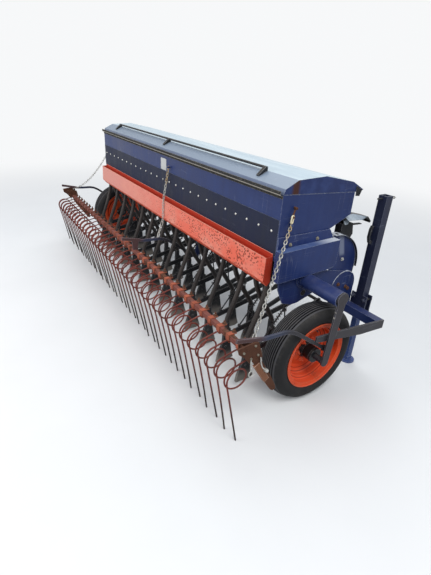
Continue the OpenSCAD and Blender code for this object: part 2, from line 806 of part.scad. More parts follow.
// Round bar along the lid's rear crease, on its brackets
rail_h = 18;
rail_bar_d = 16;
rail_end_x = hopper_x - 285;
module lid_rail() {
    low = lid_path[1];
    crease = lid_path[2];
    lift = seg_normal(low, crease) * seat_gap;
    bar = crease + [-8, rail_h];
    color(black) placed() {
        bar_x(-rail_end_x - 12, rail_end_x + 12, bar[0], bar[1], rail_bar_d);
        for (x = [-rail_end_x, -70, rail_end_x]) along_x(x - 12, x + 12) polygon([
            bar + [-8, 4], bar + [8, 3], crease + lift + [0, 1], crease + lift,
            low * 0.7 + crease * 0.3 + lift, low * 0.7 + crease * 0.3 + lift + [-3, 8]
        ]);
    }
}

// Harrow

harrow_arm_t = 12;
harrow_arm_x = outrigger_x - move_gap - harrow_arm_t;
arm_h = 22;
pivot_d = 16;
pivot_eye_r = 18;
mid_x = 174;
harrow_arm_path = [
    harrow_pivot, [-55, 459], [-190, 556], [-245, 594], [-285, 614], [-330, 624], [-375, 625],
    [-420, 626], [-480, 630], [-545, 645], [-610, 659], [-655, 668]
];
chain_low = [harrow_arm_x - 20, -525, 625];
chain_pin_d = 12;
mid_chain_low = [-345, 624.5 + arm_h / 2 + 2];

// Arched flat bar with its eye round the pivot pin
module harrow_arm_flat(x) {
    x1 = x + harrow_arm_t;
    difference() {
        union() {
            along_x(x, x1) polygon(concat(
                offset_path(harrow_arm_path, arm_h / 2),
                reversed(offset_path(harrow_arm_path, -arm_h / 2))
            ));
            bar_x(x, x1, harrow_pivot[0], harrow_pivot[1], 2 * pivot_eye_r);
        }
        bar_x(x - 1, x1 + 1, harrow_pivot[0], harrow_pivot[1], pivot_d + 2 * run_gap);
    }
}

module harrow_arm(side) {
    color(dark_blue) placed() on_side(side) harrow_arm_flat(harrow_arm_x);
}

// The middle arm reaches down to the beam by a welded post
module harrow_arm_mid() {
    color(dark_blue) placed() {
        harrow_arm_flat(mid_x);
        along_x(mid_x, mid_x + harrow_arm_t) polygon([
            [harrow_beam_c[0] - 18, harrow_beam_c[1] + harrow_s / 2 + seat_gap],
            [harrow_beam_c[0] + 18, harrow_beam_c[1] + harrow_s / 2 + seat_gap],
            [harrow_beam_c[0] + 30, 636], [harrow_beam_c[0] - 30, 648]
        ]);
    }
}

beam_end_x = harrow_arm_x - 40;
module harrow_beam() {
    h = harrow_s / 2;
    color(salmon) placed() block(
        [-beam_end_x, harrow_beam_c[0] - h, harrow_beam_c[1] - h],
        [beam_end_x, harrow_beam_c[0] + h, harrow_beam_c[1] + h]
    );
}

// Clamp box on the beam's end, round the arm, with the harrow's stop prong
bracket_outline = [
    [-647, 625], [-545, 637], [-517, 628], [-495, 564],
    [-483, 525], [-568, 513], [-604, 559], [-639, 588]
];
bracket_floor = harrow_beam_c[1] - harrow_s / 2;
module harrow_brackets() {
    x0 = beam_end_x + seat_gap;
    x1 = harrow_arm_x + harrow_arm_t + seat_gap;
    pin = chain_low + unit(chain_low - chain_top) * (chain_pin_d / 2 + 2);
    color(rust) placed() for (side = [-1, 1]) on_side(side) {
        along_x(x0, x0 + 8) polygon([
            [-610, 612], [-505, 606], [-495, 564], [-500, bracket_floor], [-580, bracket_floor], [-604, 559]
        ]);
        along_x(x1, x1 + 8) union() {
            polygon(bracket_outline);
            polygon([
                [-549, 517], [-435, 326], [-392, 264], [-374, 252],
                [-358, 258], [-360, 284], [-415, 388], [-500, 525]
            ]);
        }
        // floor plate over the outer tine, cross bar, and the pins for the chain and the clamp
        along_x(x0, x1 + 1) polygon([
            [-575, bracket_floor], [-515, bracket_floor],
            [-515, bracket_floor + 6], [-575, bracket_floor + 6]
        ]);
        bar_x(x0, x1 + 1, -592, 600, 14);
        // the slack chain comes in flatter, so its pin lies a little lower
        bar_x(chain_low[0] - 10, x1 + 1, pin[1], side < 0 ? pin[2] - 1.2 : pin[2], chain_pin_d);
    }
}

// Tine: from under the beam into one and a quarter turns, then down to the ground
tine_lean = 12;
turn_pitch = 24;
last_turn = 540 + tine_lean;
tine_arm_z = harrow_beam_c[1] - harrow_s / 2 - wire_d / 2 - seat_gap;
// Point of a coil with its middle at x, wound outwards on the side s
function coil_point(x, s, a) = [
    x + s * turn_pitch * (a - (90 + last_turn) / 2) / 360,
    coil_c[0] + coil_r * cos(a),
    coil_c[1] + coil_r * sin(a)
];
module tine(x) {
    s = x < 0 ? -1 : 1;
    start = coil_point(x, s, 90);
    leg_top = coil_point(x, s, last_turn);
    tip_z = wire_d / 2 * sin(tine_lean);
    sweep(concat(
        [[start[0], harrow_beam_c[0] + 18, tine_arm_z], [start[0], harrow_beam_c[0] - 30, tine_arm_z - 3]],
        [for (i = [0:15]) coil_point(x, s, 90 + (last_turn - 90) * i / 15)],
        [[leg_top[0], leg_top[1] + (leg_top[2] - tip_z) * tan(tine_lean), tip_z]]
    ), wire_d / 2, 6);
}

// The outer tines stand under the floors of the clamp boxes
tines_per_side = floor((harrow_arm_x + 16) / tine_pitch);
module harrow_tines() {
    color([0.38, 0.15, 0.12]) placed()
        for (i = [-tines_per_side:tines_per_side]) tine(i * tine_pitch);
}

front_beam();
headstock();
main_tube();
end_frame(-1);  // end_frame_left
end_frame(1);  // end_frame_right
beam_bracket(-1);  // beam_bracket_left
beam_bracket(1);  // beam_bracket_right
hopper();
hopper_gutter();
outlet_band();
metering_units();
metering_shaft();
tray();
gear_cover();
chain_guard();
rate_gearbox();
wheel_arm(-1);  // wheel_arm_left
wheel_arm(1);  // wheel_arm_right
outrigger(-1);  // outrigger_left
outrigger(1);  // outrigger_right
stand_housing(-1);  // stand_housing_left
stand_housing(1);  // stand_housing_right
coulter_rail();
rockshaft();
coulter_arms(front_x, front_shoe_y);  // coulter_arms_front
coulter_arms(rear_x, rear_shoe_y);  // coulter_arms_rear
coulter_shoes(front_x, front_shoe_y);  // coulter_shoes_front
coulter_shoes(rear_x, rear_shoe_y);  // coulter_shoes_rear
pressure_springs();
seed_tubes(front_x, front_shoe_y);  // seed_tubes_front
seed_tubes(rear_x, rear_shoe_y);  // seed_tubes_rear
chain_left();
chain_mid();
chain_right();
lid();
lid_rail();
tyre(-1);  // tyre_left
tyre(1);  // tyre_right
rim(-1);  // rim_left
rim(1);  // rim_right
stand_leg(-1);  // stand_leg_left
stand_leg(1);  // stand_leg_right
harrow_arm(-1);  // harrow_arm_left
harrow_arm_mid();
harrow_arm(1);  // harrow_arm_right
harrow_beam();
harrow_brackets();
harrow_tines();
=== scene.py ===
"""Finishes and small hardware of a seed drill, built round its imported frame. Lengths are in metres."""

import json
import math
from bisect import bisect_left
from functools import cached_property

import bmesh
import bpy
from mathutils import Matrix, Vector


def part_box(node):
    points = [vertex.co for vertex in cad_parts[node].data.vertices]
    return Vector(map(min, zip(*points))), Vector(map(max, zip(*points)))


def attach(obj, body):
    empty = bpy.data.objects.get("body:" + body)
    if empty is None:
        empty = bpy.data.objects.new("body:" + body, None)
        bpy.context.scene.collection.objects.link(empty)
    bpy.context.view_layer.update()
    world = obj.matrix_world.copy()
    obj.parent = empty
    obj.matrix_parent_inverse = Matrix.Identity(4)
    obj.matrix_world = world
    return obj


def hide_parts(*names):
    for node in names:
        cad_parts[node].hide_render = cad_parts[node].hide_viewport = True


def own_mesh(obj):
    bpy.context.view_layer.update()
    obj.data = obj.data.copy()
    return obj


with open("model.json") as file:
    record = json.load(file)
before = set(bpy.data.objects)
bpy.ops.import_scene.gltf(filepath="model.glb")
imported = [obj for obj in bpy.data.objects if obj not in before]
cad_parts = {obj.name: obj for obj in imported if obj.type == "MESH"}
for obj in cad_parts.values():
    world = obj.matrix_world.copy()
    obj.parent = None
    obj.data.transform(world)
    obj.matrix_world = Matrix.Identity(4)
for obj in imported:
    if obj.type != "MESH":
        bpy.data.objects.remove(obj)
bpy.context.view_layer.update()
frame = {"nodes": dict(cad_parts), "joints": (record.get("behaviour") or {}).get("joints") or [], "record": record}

bl_info = {
    "name": "Seed drill",
    "version": (1, 0, 0),
    "blender": (4, 5, 0),
    "location": "View3D > Sidebar > Seed drill",
    "description": "Paint, rubber, rust and small hardware of a seed drill",
    "category": "Object",
}


def joint(name):
    """A joint of the frame."""
    return next(j for j in frame["joints"] if j["name"] == name)


AXIS_X = Vector((1, 0, 0))
AXIS_Y = Vector((0, 1, 0))
AXIS_Z = Vector((0, 0, 1))
SIDES = ((1, "right"), (-1, "left"))
WHEEL_PLACE = Vector(joint("wheel_right_spin")["pos_m"])
AXLE_Y = WHEEL_PLACE.y

# Places as (Y, Z), with Y counted from the wheel axle as at() takes it
RAIL = (0.420, 0.415)
SHOE_EYE_Z = 0.262
TROUGH_LIP = (-0.2565, 0.928)
TROUGH_REAR_Z = 0.945
HOOK_BOLT = (-0.112, 1.214)

# Y of the shoes' middles from the axle, and of their eyes from the shoes' middles
SHOE_REAR_Y = -0.300
SHOE_FRONT_Y = -0.005
SHOE_EYE_Y = 0.015

# Sizes that finishes and pieces, or several pieces, share
SHOE_T = 0.018
DRAG_ARM_T = 0.010
HOPPER_X = 1.500
TREAD_SHOULDER = 0.030
TREAD_DROP = 0.0135


def at(x, y, z):
    """A place whose Y is counted from the wheel axle."""
    return Vector((x, AXLE_Y + y, z))


def middle_of(node):
    """The middle of a CAD node's box."""
    low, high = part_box(node)
    return (low + high) / 2


def wheel_middle(side):
    """The middle of the right-hand wheel (1) or of the left-hand one (-1)."""
    return Vector((WHEEL_PLACE.x * side, WHEEL_PLACE.y, WHEEL_PLACE.z))


# Sizes and colours that a user would change


def length(name, description, value):
    """A length property in metres."""
    return bpy.props.FloatProperty(
        name=name, description=description, default=value, min=0.0, unit="LENGTH"
    )


def number(name, description, value):
    """A property that counts pieces."""
    return bpy.props.IntProperty(name=name, description=description, default=value, min=3)


def colour(name, description, value):
    """A colour property, linear."""
    return bpy.props.FloatVectorProperty(
        name=name, description=description, default=value, subtype="COLOR", size=3, min=0.0, max=1.0
    )


class DrillSizes(bpy.types.PropertyGroup):
    """Sizes of the drill's small pieces."""

    rows: number("Rows", "Number of seed rows", 25)
    row_pitch: length("Row pitch", "Distance between two seed rows", 0.12)
    tines: number("Tines", "Number of harrow tines", 37)
    tine_pitch: length("Tine pitch", "Distance between two tines", 0.1)
    wire: length("Tine wire", "Diameter of the tines' wire", 0.010)
    coil: length("Coil radius", "Radius of the tines' coils", 0.065)
    turn_pitch: length("Turn pitch", "Way that a coil moves sideways in one turn", 0.024)
    tine_lean: bpy.props.FloatProperty(
        name="Tine lean", description="Lean of the tines' legs", default=math.radians(12), subtype="ANGLE"
    )
    hose: length("Hose", "Outer diameter of a seed hose", 0.036)
    ring_pitch: length("Hose rings", "Distance between two rings of a hose", 0.012)
    rod: length("Pressure rod", "Diameter of a pressure rod", 0.010)
    spring: length("Spring", "Outer diameter of a pressure spring", 0.028)
    spring_wire: length("Spring wire", "Wire of a pressure spring", 0.004)
    link_wire: length("Link wire", "Wire of a chain link", 0.0055)
    link_width: length("Link width", "Outer width of a chain link", 0.021)
    link_pitch: length("Link pitch", "Distance between two chain links", 0.0205)
    ribs: number("Tyre ribs", "Number of ribs round the tread", 8)
    groove: length("Groove depth", "Depth of the grooves between the tyre's ribs", 0.009)
    wheel_nut: length("Wheel nut", "Width of the wheels' nuts", 0.017)
    stand_bolt: length("Stand bolt", "Width of the bolts' heads on the stands", 0.019)
    pivot_nut: length("Pivot nut", "Width of the nuts on the harrow's pivots", 0.024)
    clamp_nut: length("Clamp nut", "Width of the tine clamps' bolts and nuts", 0.016)


class DrillColours(bpy.types.PropertyGroup):
    """Colours of the drill's finishes."""

    navy: colour("Navy paint", "Hopper and frame", (0.012, 0.025, 0.105))
    navy_faded: colour("Faded navy", "Chalky navy paint", (0.024, 0.045, 0.155))
    band: colour("Dark band", "Lower band of the hopper's rear wall", (0.005, 0.008, 0.024))
    steel_blue: colour("Steel blue", "Arms and outriggers", (0.026, 0.025, 0.032))
    # The lid's top colour is bleached paint together with a painted sky reflection
    lid_top: colour("Lid top", "Bleached top of the lid", (0.40, 0.50, 0.56))
    lid_rear: colour("Lid rear", "Lilac rear facet of the lid", (0.12, 0.15, 0.23))
    orange: colour("Orange paint", "Tray and rims", (0.74, 0.070, 0.016))
    bleached: colour("Bleached orange", "Faded tray paint", (0.82, 0.155, 0.095))
    salmon: colour("Salmon paint", "Harrow beam", (0.15, 0.046, 0.036))
    tine_red: colour("Tine red", "Old red paint of the tines", (0.105, 0.020, 0.015))
    clamp_red: colour("Clamp red", "Red paint of the tines' clamps", (0.40, 0.105, 0.055))
    rust: colour("Rust", "Rust spots", (0.130, 0.048, 0.022))
    rust_dark: colour("Dark rust", "Old rust", (0.045, 0.020, 0.014))
    rusty: colour("Rusty steel", "Steel without paint", (0.075, 0.030, 0.018))
    black: colour("Black paint", "Coulters, metering and rods", (0.010, 0.011, 0.013))
    zinc: colour("Zinc", "Galvanised steel", (0.50, 0.50, 0.47))
    chain: colour("Chain", "Dull zinc of the chains", (0.28, 0.27, 0.25))
    yellow: colour("Yellow zinc", "Passivated quick link", (0.66, 0.54, 0.28))
    rubber: colour("Rubber", "Tyres", (0.011, 0.011, 0.012))
    hose: colour("Hose", "Seed hoses", (0.024, 0.021, 0.021))
    leg_blue: colour("Leg blue", "Brighter paint of the stand's leg", (0.024, 0.055, 0.200))
    post_navy: colour("Post navy", "Nearly black paint of the stands' housings", (0.010, 0.013, 0.034))
    box_cover: colour("Gearbox cover", "Bleached cover of the rate gearbox", (0.22, 0.27, 0.33))
    dust: colour("Dust", "Settled dust and dried soil", (0.24, 0.21, 0.17))
    plate: colour("Plate", "Blank plate on the hopper", (0.62, 0.63, 0.63))
    floor: colour("Floor", "Floor of the stage", (0.80, 0.80, 0.79))


def sizes():
    """The drill's sizes in the scene."""
    return bpy.context.scene.drill_sizes


def colours():
    """The drill's colours in the scene."""
    return bpy.context.scene.drill_colours


# Shader nodes


class Graph:
    """Adds nodes to a node tree and links them."""

    def __init__(self, tree):
        self.tree = tree

    def add(self, kind, **settings):
        """A new node with its settings."""
        node = self.tree.nodes.new(kind)
        for key, value in settings.items():
            setattr(node, key, value)
        return node

    def feed(self, socket, value):
        """Links a socket or sets its value; a word names one of the drill's colours."""
        if isinstance(value, bpy.types.NodeSocket):
            self.tree.links.new(value, socket)
        elif socket.type == "RGBA":
            color = getattr(colours(), value) if isinstance(value, str) else value
            socket.default_value = (*color, 1.0)
        else:
            socket.default_value = value

    def math(self, operation, first, second=0.0, clamp=False):
        """Result of a math node."""
        node = self.add("ShaderNodeMath", operation=operation, use_clamp=clamp)
        self.feed(node.inputs[0], first)
        self.feed(node.inputs[1], second)
        return node.outputs[0]

    def product(self, first, *others):
        """Product of masks and numbers."""
        for other in others:
            first = self.math("MULTIPLY", first, other)
        return first

    def mix(self, share, first, second):
        """Mix of two colours by a share."""
        node = self.add("ShaderNodeMix", data_type="RGBA")
        self.feed(node.inputs[0], share)
        self.feed(node.inputs[6], first)
        self.feed(node.inputs[7], second)
        return node.outputs[2]

    def between(self, share, first, second):
        """Mix of two numbers by a share."""
        node = self.add("ShaderNodeMix", data_type="FLOAT")
        self.feed(node.inputs[0], share)
        self.feed(node.inputs[2], first)
        self.feed(node.inputs[3], second)
        return node.outputs[0]

    def above(self, value, low, high):
        """Smooth step from 0 at low to 1 at high."""
        node = self.add("ShaderNodeMapRange", interpolation_type="SMOOTHSTEP", clamp=True)
        self.feed(node.inputs["Value"], value)
        self.feed(node.inputs["From Min"], low)
        self.feed(node.inputs["From Max"], high)
        return node.outputs["Result"]

    def below(self, value, low, high):
        """Smooth step from 1 at low to 0 at high."""
        return self.math("SUBTRACT", 1.0, self.above(value, low, high))

    def size_of(self, value):
        """A number without its sign."""
        return self.math("ABSOLUTE", value)

    def gap(self, value, middle):
        """Distance of a number from another one."""
        return self.size_of(self.math("SUBTRACT", value, middle))

    def noise(self, vector, scale, detail=4.0, roughness=0.55):
        """Value of a noise texture."""
        node = self.add("ShaderNodeTexNoise")
        self.feed(node.inputs["Vector"], vector)
        self.feed(node.inputs["Scale"], scale)
        self.feed(node.inputs["Detail"], detail)
        self.feed(node.inputs["Roughness"], roughness)
        return node.outputs["Fac"]

    def cells(self, vector, scale):
        """Distance of a cell texture."""
        node = self.add("ShaderNodeTexVoronoi")
        self.feed(node.inputs["Vector"], vector)
        self.feed(node.inputs["Scale"], scale)
        return node.outputs["Distance"]

    def stretched(self, vector, scale):
        """A vector scaled along its axes."""
        node = self.add("ShaderNodeMapping")
        self.feed(node.inputs["Vector"], vector)
        self.feed(node.inputs["Scale"], scale)
        return node.outputs["Vector"]

    def parts_of(self, vector):
        """X, Y and Z of a vector."""
        node = self.add("ShaderNodeSeparateXYZ")
        self.feed(node.inputs[0], vector)
        return node.outputs

    def reach(self, spot, y, z):
        """Distance from a line along X, whose Y is counted from the wheel axle."""
        ahead = self.math("SUBTRACT", spot["Y"], AXLE_Y + y)
        up = self.math("SUBTRACT", spot["Z"], z)
        return self.math("SQRT", self.math("ADD", self.product(ahead, ahead), self.product(up, up)))

    def place(self):
        """Object coordinates."""
        return self.add("ShaderNodeTexCoord").outputs["Object"]

    def facing(self):
        """The surface's direction in the object's own axes."""
        return self.parts_of(self.add("ShaderNodeTexCoord").outputs["Normal"])

    def group(self, tree, **values):
        """A shader group with its values."""
        node = self.add("ShaderNodeGroup", node_tree=tree)
        for key, value in values.items():
            self.feed(node.inputs[key.replace("_", " ").capitalize()], value)
        return node.outputs


VALUE = "NodeSocketFloat"
VECTOR = "NodeSocketVector"
COLOUR = "NodeSocketColor"


def new_group(name, inputs, outputs):
    """An empty shader group with its sockets; gives the graph, the inputs and the output node."""
    tree = bpy.data.node_groups.new(name, "ShaderNodeTree")
    for way, sockets in (("INPUT", inputs), ("OUTPUT", outputs)):
        for socket, kind in sockets.items():
            tree.interface.new_socket(socket, in_out=way, socket_type=kind)
    graph = Graph(tree)
    return graph, graph.add("NodeGroupInput").outputs, graph.add("NodeGroupOutput").inputs


def edge_wear_group():
    """Mask of edges: worn paint, and pale edges that stand for painted highlights where edges catch the light."""
    graph, given, out = new_group(
        "Edge wear", {"Place": VECTOR, "Width": VALUE, "Amount": VALUE}, {"Mask": VALUE}
    )
    bevel = graph.add("ShaderNodeBevel", samples=4)
    graph.feed(bevel.inputs["Radius"], given["Width"])
    turn = graph.add("ShaderNodeVectorMath", operation="DOT_PRODUCT")
    graph.feed(turn.inputs[0], bevel.outputs[0])
    graph.feed(turn.inputs[1], graph.add("ShaderNodeNewGeometry").outputs["Normal"])
    bend = graph.math("SUBTRACT", 1.0, turn.outputs["Value"])
    edge = graph.above(bend, 0.02, 0.16)
    broken = graph.above(graph.noise(given["Place"], 38.0, detail=5.0, roughness=0.7), 0.36, 0.62)
    share = graph.product(edge, graph.between(broken, 0.40, 1.0))
    graph.feed(out["Mask"], graph.math("MULTIPLY", share, given["Amount"], clamp=True))
    return graph.tree


def rust_group():
    """Mask and colour of rust spots."""
    graph, given, out = new_group(
        "Rust spots",
        {"Place": VECTOR, "Scale": VALUE, "Amount": VALUE, "Light": COLOUR, "Dark": COLOUR},
        {"Mask": VALUE, "Color": COLOUR},
    )
    large = graph.noise(given["Place"], graph.product(given["Scale"], 0.22), detail=3.0, roughness=0.6)
    small = graph.noise(given["Place"], given["Scale"], detail=6.0, roughness=0.75)
    both = graph.math("ADD", graph.product(large, 0.45), graph.product(small, 0.55))
    edge = graph.math("SUBTRACT", 0.74, graph.product(given["Amount"], 0.34))
    graph.feed(out["Mask"], graph.above(both, edge, graph.math("ADD", edge, 0.045)))
    tone = graph.noise(given["Place"], graph.product(given["Scale"], 2.3), roughness=0.7)
    graph.feed(out["Color"], graph.mix(graph.above(tone, 0.36, 0.64), given["Dark"], given["Light"]))
    return graph.tree


def faded_paint_group():
    """Paint with sun-bleached clouds, fine mottling and rain streaks."""
    graph, given, out = new_group(
        "Faded paint",
        {"Place": VECTOR, "Paint": COLOUR, "Faded": COLOUR, "Amount": VALUE},
        {"Color": COLOUR, "Height": VALUE, "Mask": VALUE},
    )
    cloud = graph.noise(given["Place"], 3.1, detail=5.0, roughness=0.62)
    streak = graph.noise(graph.stretched(given["Place"], (26.0, 26.0, 1.3)), 1.0, roughness=0.6)
    fine = graph.noise(given["Place"], 95.0, detail=3.0, roughness=0.6)
    blend = graph.math("ADD", graph.product(cloud, 0.55), graph.product(streak, 0.33))
    blend = graph.math("ADD", blend, graph.product(fine, 0.12))
    share = graph.math("MULTIPLY", graph.above(blend, 0.36, 0.66), given["Amount"], clamp=True)
    graph.feed(out["Mask"], share)
    graph.feed(out["Color"], graph.mix(share, given["Paint"], given["Faded"]))
    graph.feed(out["Height"], graph.product(fine, 0.6))
    return graph.tree


def scratches_group():
    """Mask of fine scratches that run in two directions."""
    graph, given, out = new_group(
        "Fine scratches", {"Place": VECTOR, "Scale": VALUE, "Amount": VALUE}, {"Mask": VALUE}
    )
    total = 0.0
    for stretch in ((1.0, 0.6, 26.0), (22.0, 14.0, 0.9)):
        scaled = graph.add("ShaderNodeVectorMath", operation="SCALE")
        graph.feed(scaled.inputs[0], graph.stretched(given["Place"], stretch))
        graph.feed(scaled.inputs["Scale"], given["Scale"])
        line = graph.noise(scaled.outputs[0], 1.0, detail=2.0, roughness=0.5)
        total = graph.math("MAXIMUM", total, graph.below(graph.gap(line, 0.5), 0.0, 0.006))
    broken = graph.above(graph.noise(given["Place"], 5.5, detail=3.0, roughness=0.6), 0.50, 0.66)
    lines = graph.product(total, broken)
    graph.feed(out["Mask"], graph.math("MULTIPLY", lines, given["Amount"], clamp=True))
    return graph.tree


def dust_group():
    """Mask of dust on what faces up and of dried soil near the ground."""
    graph, given, out = new_group(
        "Settled dust", {"Place": VECTOR, "Amount": VALUE, "Splash height": VALUE}, {"Mask": VALUE}
    )
    up = graph.above(graph.facing()["Z"], 0.15, 0.95)
    patch = graph.above(graph.noise(given["Place"], 14.0, detail=6.0, roughness=0.7), 0.40, 0.68)
    settled = graph.product(up, graph.between(patch, 0.25, 1.0))
    low = graph.below(graph.parts_of(given["Place"])["Z"], 0.0, given["Splash height"])
    speck = graph.above(graph.noise(given["Place"], 42.0, detail=5.0, roughness=0.75), 0.44, 0.60)
    splash = graph.product(low, speck)
    grime = graph.above(graph.noise(given["Place"], 7.0, detail=5.0, roughness=0.7), 0.5, 0.8)
    total = graph.math("MAXIMUM", graph.math("MAXIMUM", settled, splash), graph.product(grime, 0.35))
    graph.feed(out["Mask"], graph.math("MULTIPLY", total, given["Amount"], clamp=True))
    return graph.tree


GROUPS = {}


def build_groups():
    """Builds the shared shader groups once."""
    GROUPS["wear"] = edge_wear_group()
    GROUPS["rust"] = rust_group()
    GROUPS["paint"] = faded_paint_group()
    GROUPS["scratches"] = scratches_group()
    GROUPS["dust"] = dust_group()


# Materials


class Finish:
    """A material under way, laid coat by coat: its colour, roughness, metal share and height."""

    def __init__(self, roughness=0.5, metallic=0.0):
        self.material = bpy.data.materials.new("finish")
        self.material.use_nodes = True
        self.graph = Graph(self.material.node_tree)
        self.shader = self.material.node_tree.nodes["Principled BSDF"]
        self.place = self.graph.place()
        self.color = (0.5, 0.5, 0.5)
        self.roughness = roughness
        self.metallic = metallic
        self.height = 0.0

    @cached_property
    def spot(self):
        """X, Y and Z of the place."""
        return self.graph.parts_of(self.place)

    @cached_property
    def facing(self):
        """X, Y and Z of the surface's direction."""
        return self.graph.facing()

    def paint(self, base, faded, amount):
        """Lays faded paint."""
        made = self.graph.group(GROUPS["paint"], place=self.place, paint=base, faded=faded, amount=amount)
        self.color = made["Color"]
        self.height = made["Height"]
        self.roughness = self.graph.between(made["Mask"], self.roughness, min(self.roughness + 0.22, 1.0))
        return self

    def cover(self, mask, color, roughness, metallic=None, lift=0.0):
        """Lays a colour over the finish where the mask is 1."""
        self.color = self.graph.mix(mask, self.color, color)
        self.roughness = self.graph.between(mask, self.roughness, roughness)
        if metallic is not None:
            self.metallic = self.graph.between(mask, self.metallic, metallic)
        self.height = self.graph.math("ADD", self.height, self.graph.product(mask, lift))
        return self

    def wear(self, amount, color, width=0.004):
        """Paints the edges pale: worn paint, and painted highlights along the edges."""
        made = self.graph.group(GROUPS["wear"], place=self.place, width=width, amount=amount)
        return self.cover(made["Mask"], color, 0.45)

    def scratch(self, amount, color, scale=1.0):
        """Adds fine scratches."""
        made = self.graph.group(GROUPS["scratches"], place=self.place, scale=scale, amount=amount)
        return self.cover(made["Mask"], color, 0.5)

    def rust(self, amount, scale=18.0):
        """Adds rust spots."""
        made = self.graph.group(
            GROUPS["rust"], place=self.place, scale=scale, amount=amount, light="rust", dark="rust_dark"
        )
        return self.cover(made["Mask"], made["Color"], 0.85, metallic=0.0, lift=0.8)

    def dust(self, amount, splash=0.25):
        """Adds dust and dried soil."""
        made = self.graph.group(GROUPS["dust"], place=self.place, amount=amount, splash_height=splash)
        return self.cover(made["Mask"], "dust", 0.9, metallic=0.0, lift=0.3)

    def ragged_below(self, value, low, high, scale, depth):
        """1 below low, and 0 above high, which noise of that scale raises by up to the depth."""
        ragged = self.graph.product(self.graph.noise(self.place, scale), depth)
        return self.graph.below(value, low, self.graph.math("ADD", high, ragged))

    def done(self, bump=0.25):
        """Feeds the shader and gives the material."""
        graph = self.graph
        graph.feed(self.shader.inputs["Base Color"], self.color)
        graph.feed(self.shader.inputs["Roughness"], self.roughness)
        graph.feed(self.shader.inputs["Metallic"], self.metallic)
        self.shader.inputs["Specular IOR Level"].default_value = 0.25
        bumped = graph.add("ShaderNodeBump")
        bumped.inputs["Strength"].default_value = bump
        bumped.inputs["Distance"].default_value = 0.001
        graph.feed(bumped.inputs["Height"], self.height)
        graph.feed(self.shader.inputs["Normal"], bumped.outputs[0])
        return self.material


# Pale colour of worn edges and scratches, also used for painted highlights along edges and on faces
PALE_WEAR_AND_HIGHLIGHT = (0.36, 0.40, 0.50)
# Colour of painted highlights where surfaces catch the sky
GLARE = (0.66, 0.69, 0.73)
BACKDROP = (0.93, 0.94, 0.95)
BOUNCE = (0.24, 0.23, 0.21)


def navy_paint():
    """Faded navy paint with pale edges: worn paint, and painted highlights where the edges catch the light."""
    finish = Finish(0.34).paint("navy", "navy_faded", 0.75)
    return finish.scratch(0.25, PALE_WEAR_AND_HIGHLIGHT).wear(0.85, PALE_WEAR_AND_HIGHLIGHT).rust(0.12).dust(0.16).done()


def cover_paint():
    """Navy paint of the gear cover, with a painted highlight on its top, bluer behind and glaring ahead."""
    finish = Finish(0.34).paint("navy", "navy_faded", 0.9)
    graph = finish.graph
    # Painted highlight: the top is painted with sheen and glare
    top = graph.above(finish.facing["Z"], 0.75, 0.92)
    ahead = graph.above(finish.spot["Y"], 0.05, 0.25)
    finish.cover(top, graph.mix(ahead, (0.075, 0.115, 0.260), GLARE), 0.4)
    return finish.scratch(0.25, PALE_WEAR_AND_HIGHLIGHT).wear(0.9, PALE_WEAR_AND_HIGHLIGHT).rust(0.16).done()


BRACKET_CENTRE = (0.424, 0.618)
BRACKET_R = 0.113


def bracket_paint():
    """Navy bracket with a painted highlight along the upper rear part of its round edge."""
    finish = Finish(0.34).paint("navy", "navy_faded", 0.9)
    graph = finish.graph
    # Painted highlight: a glare-coloured line on the round edge's upper rear part
    reach = graph.reach(finish.spot, *BRACKET_CENTRE)
    rim = graph.above(reach, BRACKET_R - 0.006, BRACKET_R - 0.004)
    within = graph.below(reach, BRACKET_R + 0.001, BRACKET_R + 0.002)
    upper = graph.above(finish.spot["Z"], 0.640, 0.660)
    rear = graph.below(finish.spot["Y"], 0.490, 0.510)
    # Noise that breaks up the painted highlight
    rubbed = graph.above(graph.noise(finish.place, 30.0), 0.40, 0.55)
    finish.cover(graph.product(rim, within, upper, rear, graph.between(rubbed, 0.35, 1.0)), GLARE, 0.5)
    return finish.scratch(0.4, PALE_WEAR_AND_HIGHLIGHT).wear(0.9, PALE_WEAR_AND_HIGHLIGHT).rust(0.25).done()


GUARD_CENTRE = (0.271, 0.771)
GUARD_R = 0.235
GUARD_FACE_X = 1.5083
# Lean and Y of the painted highlight streak on the guard's face
HIGHLIGHT_LEAN = -0.28
HIGHLIGHT_Y = 0.598


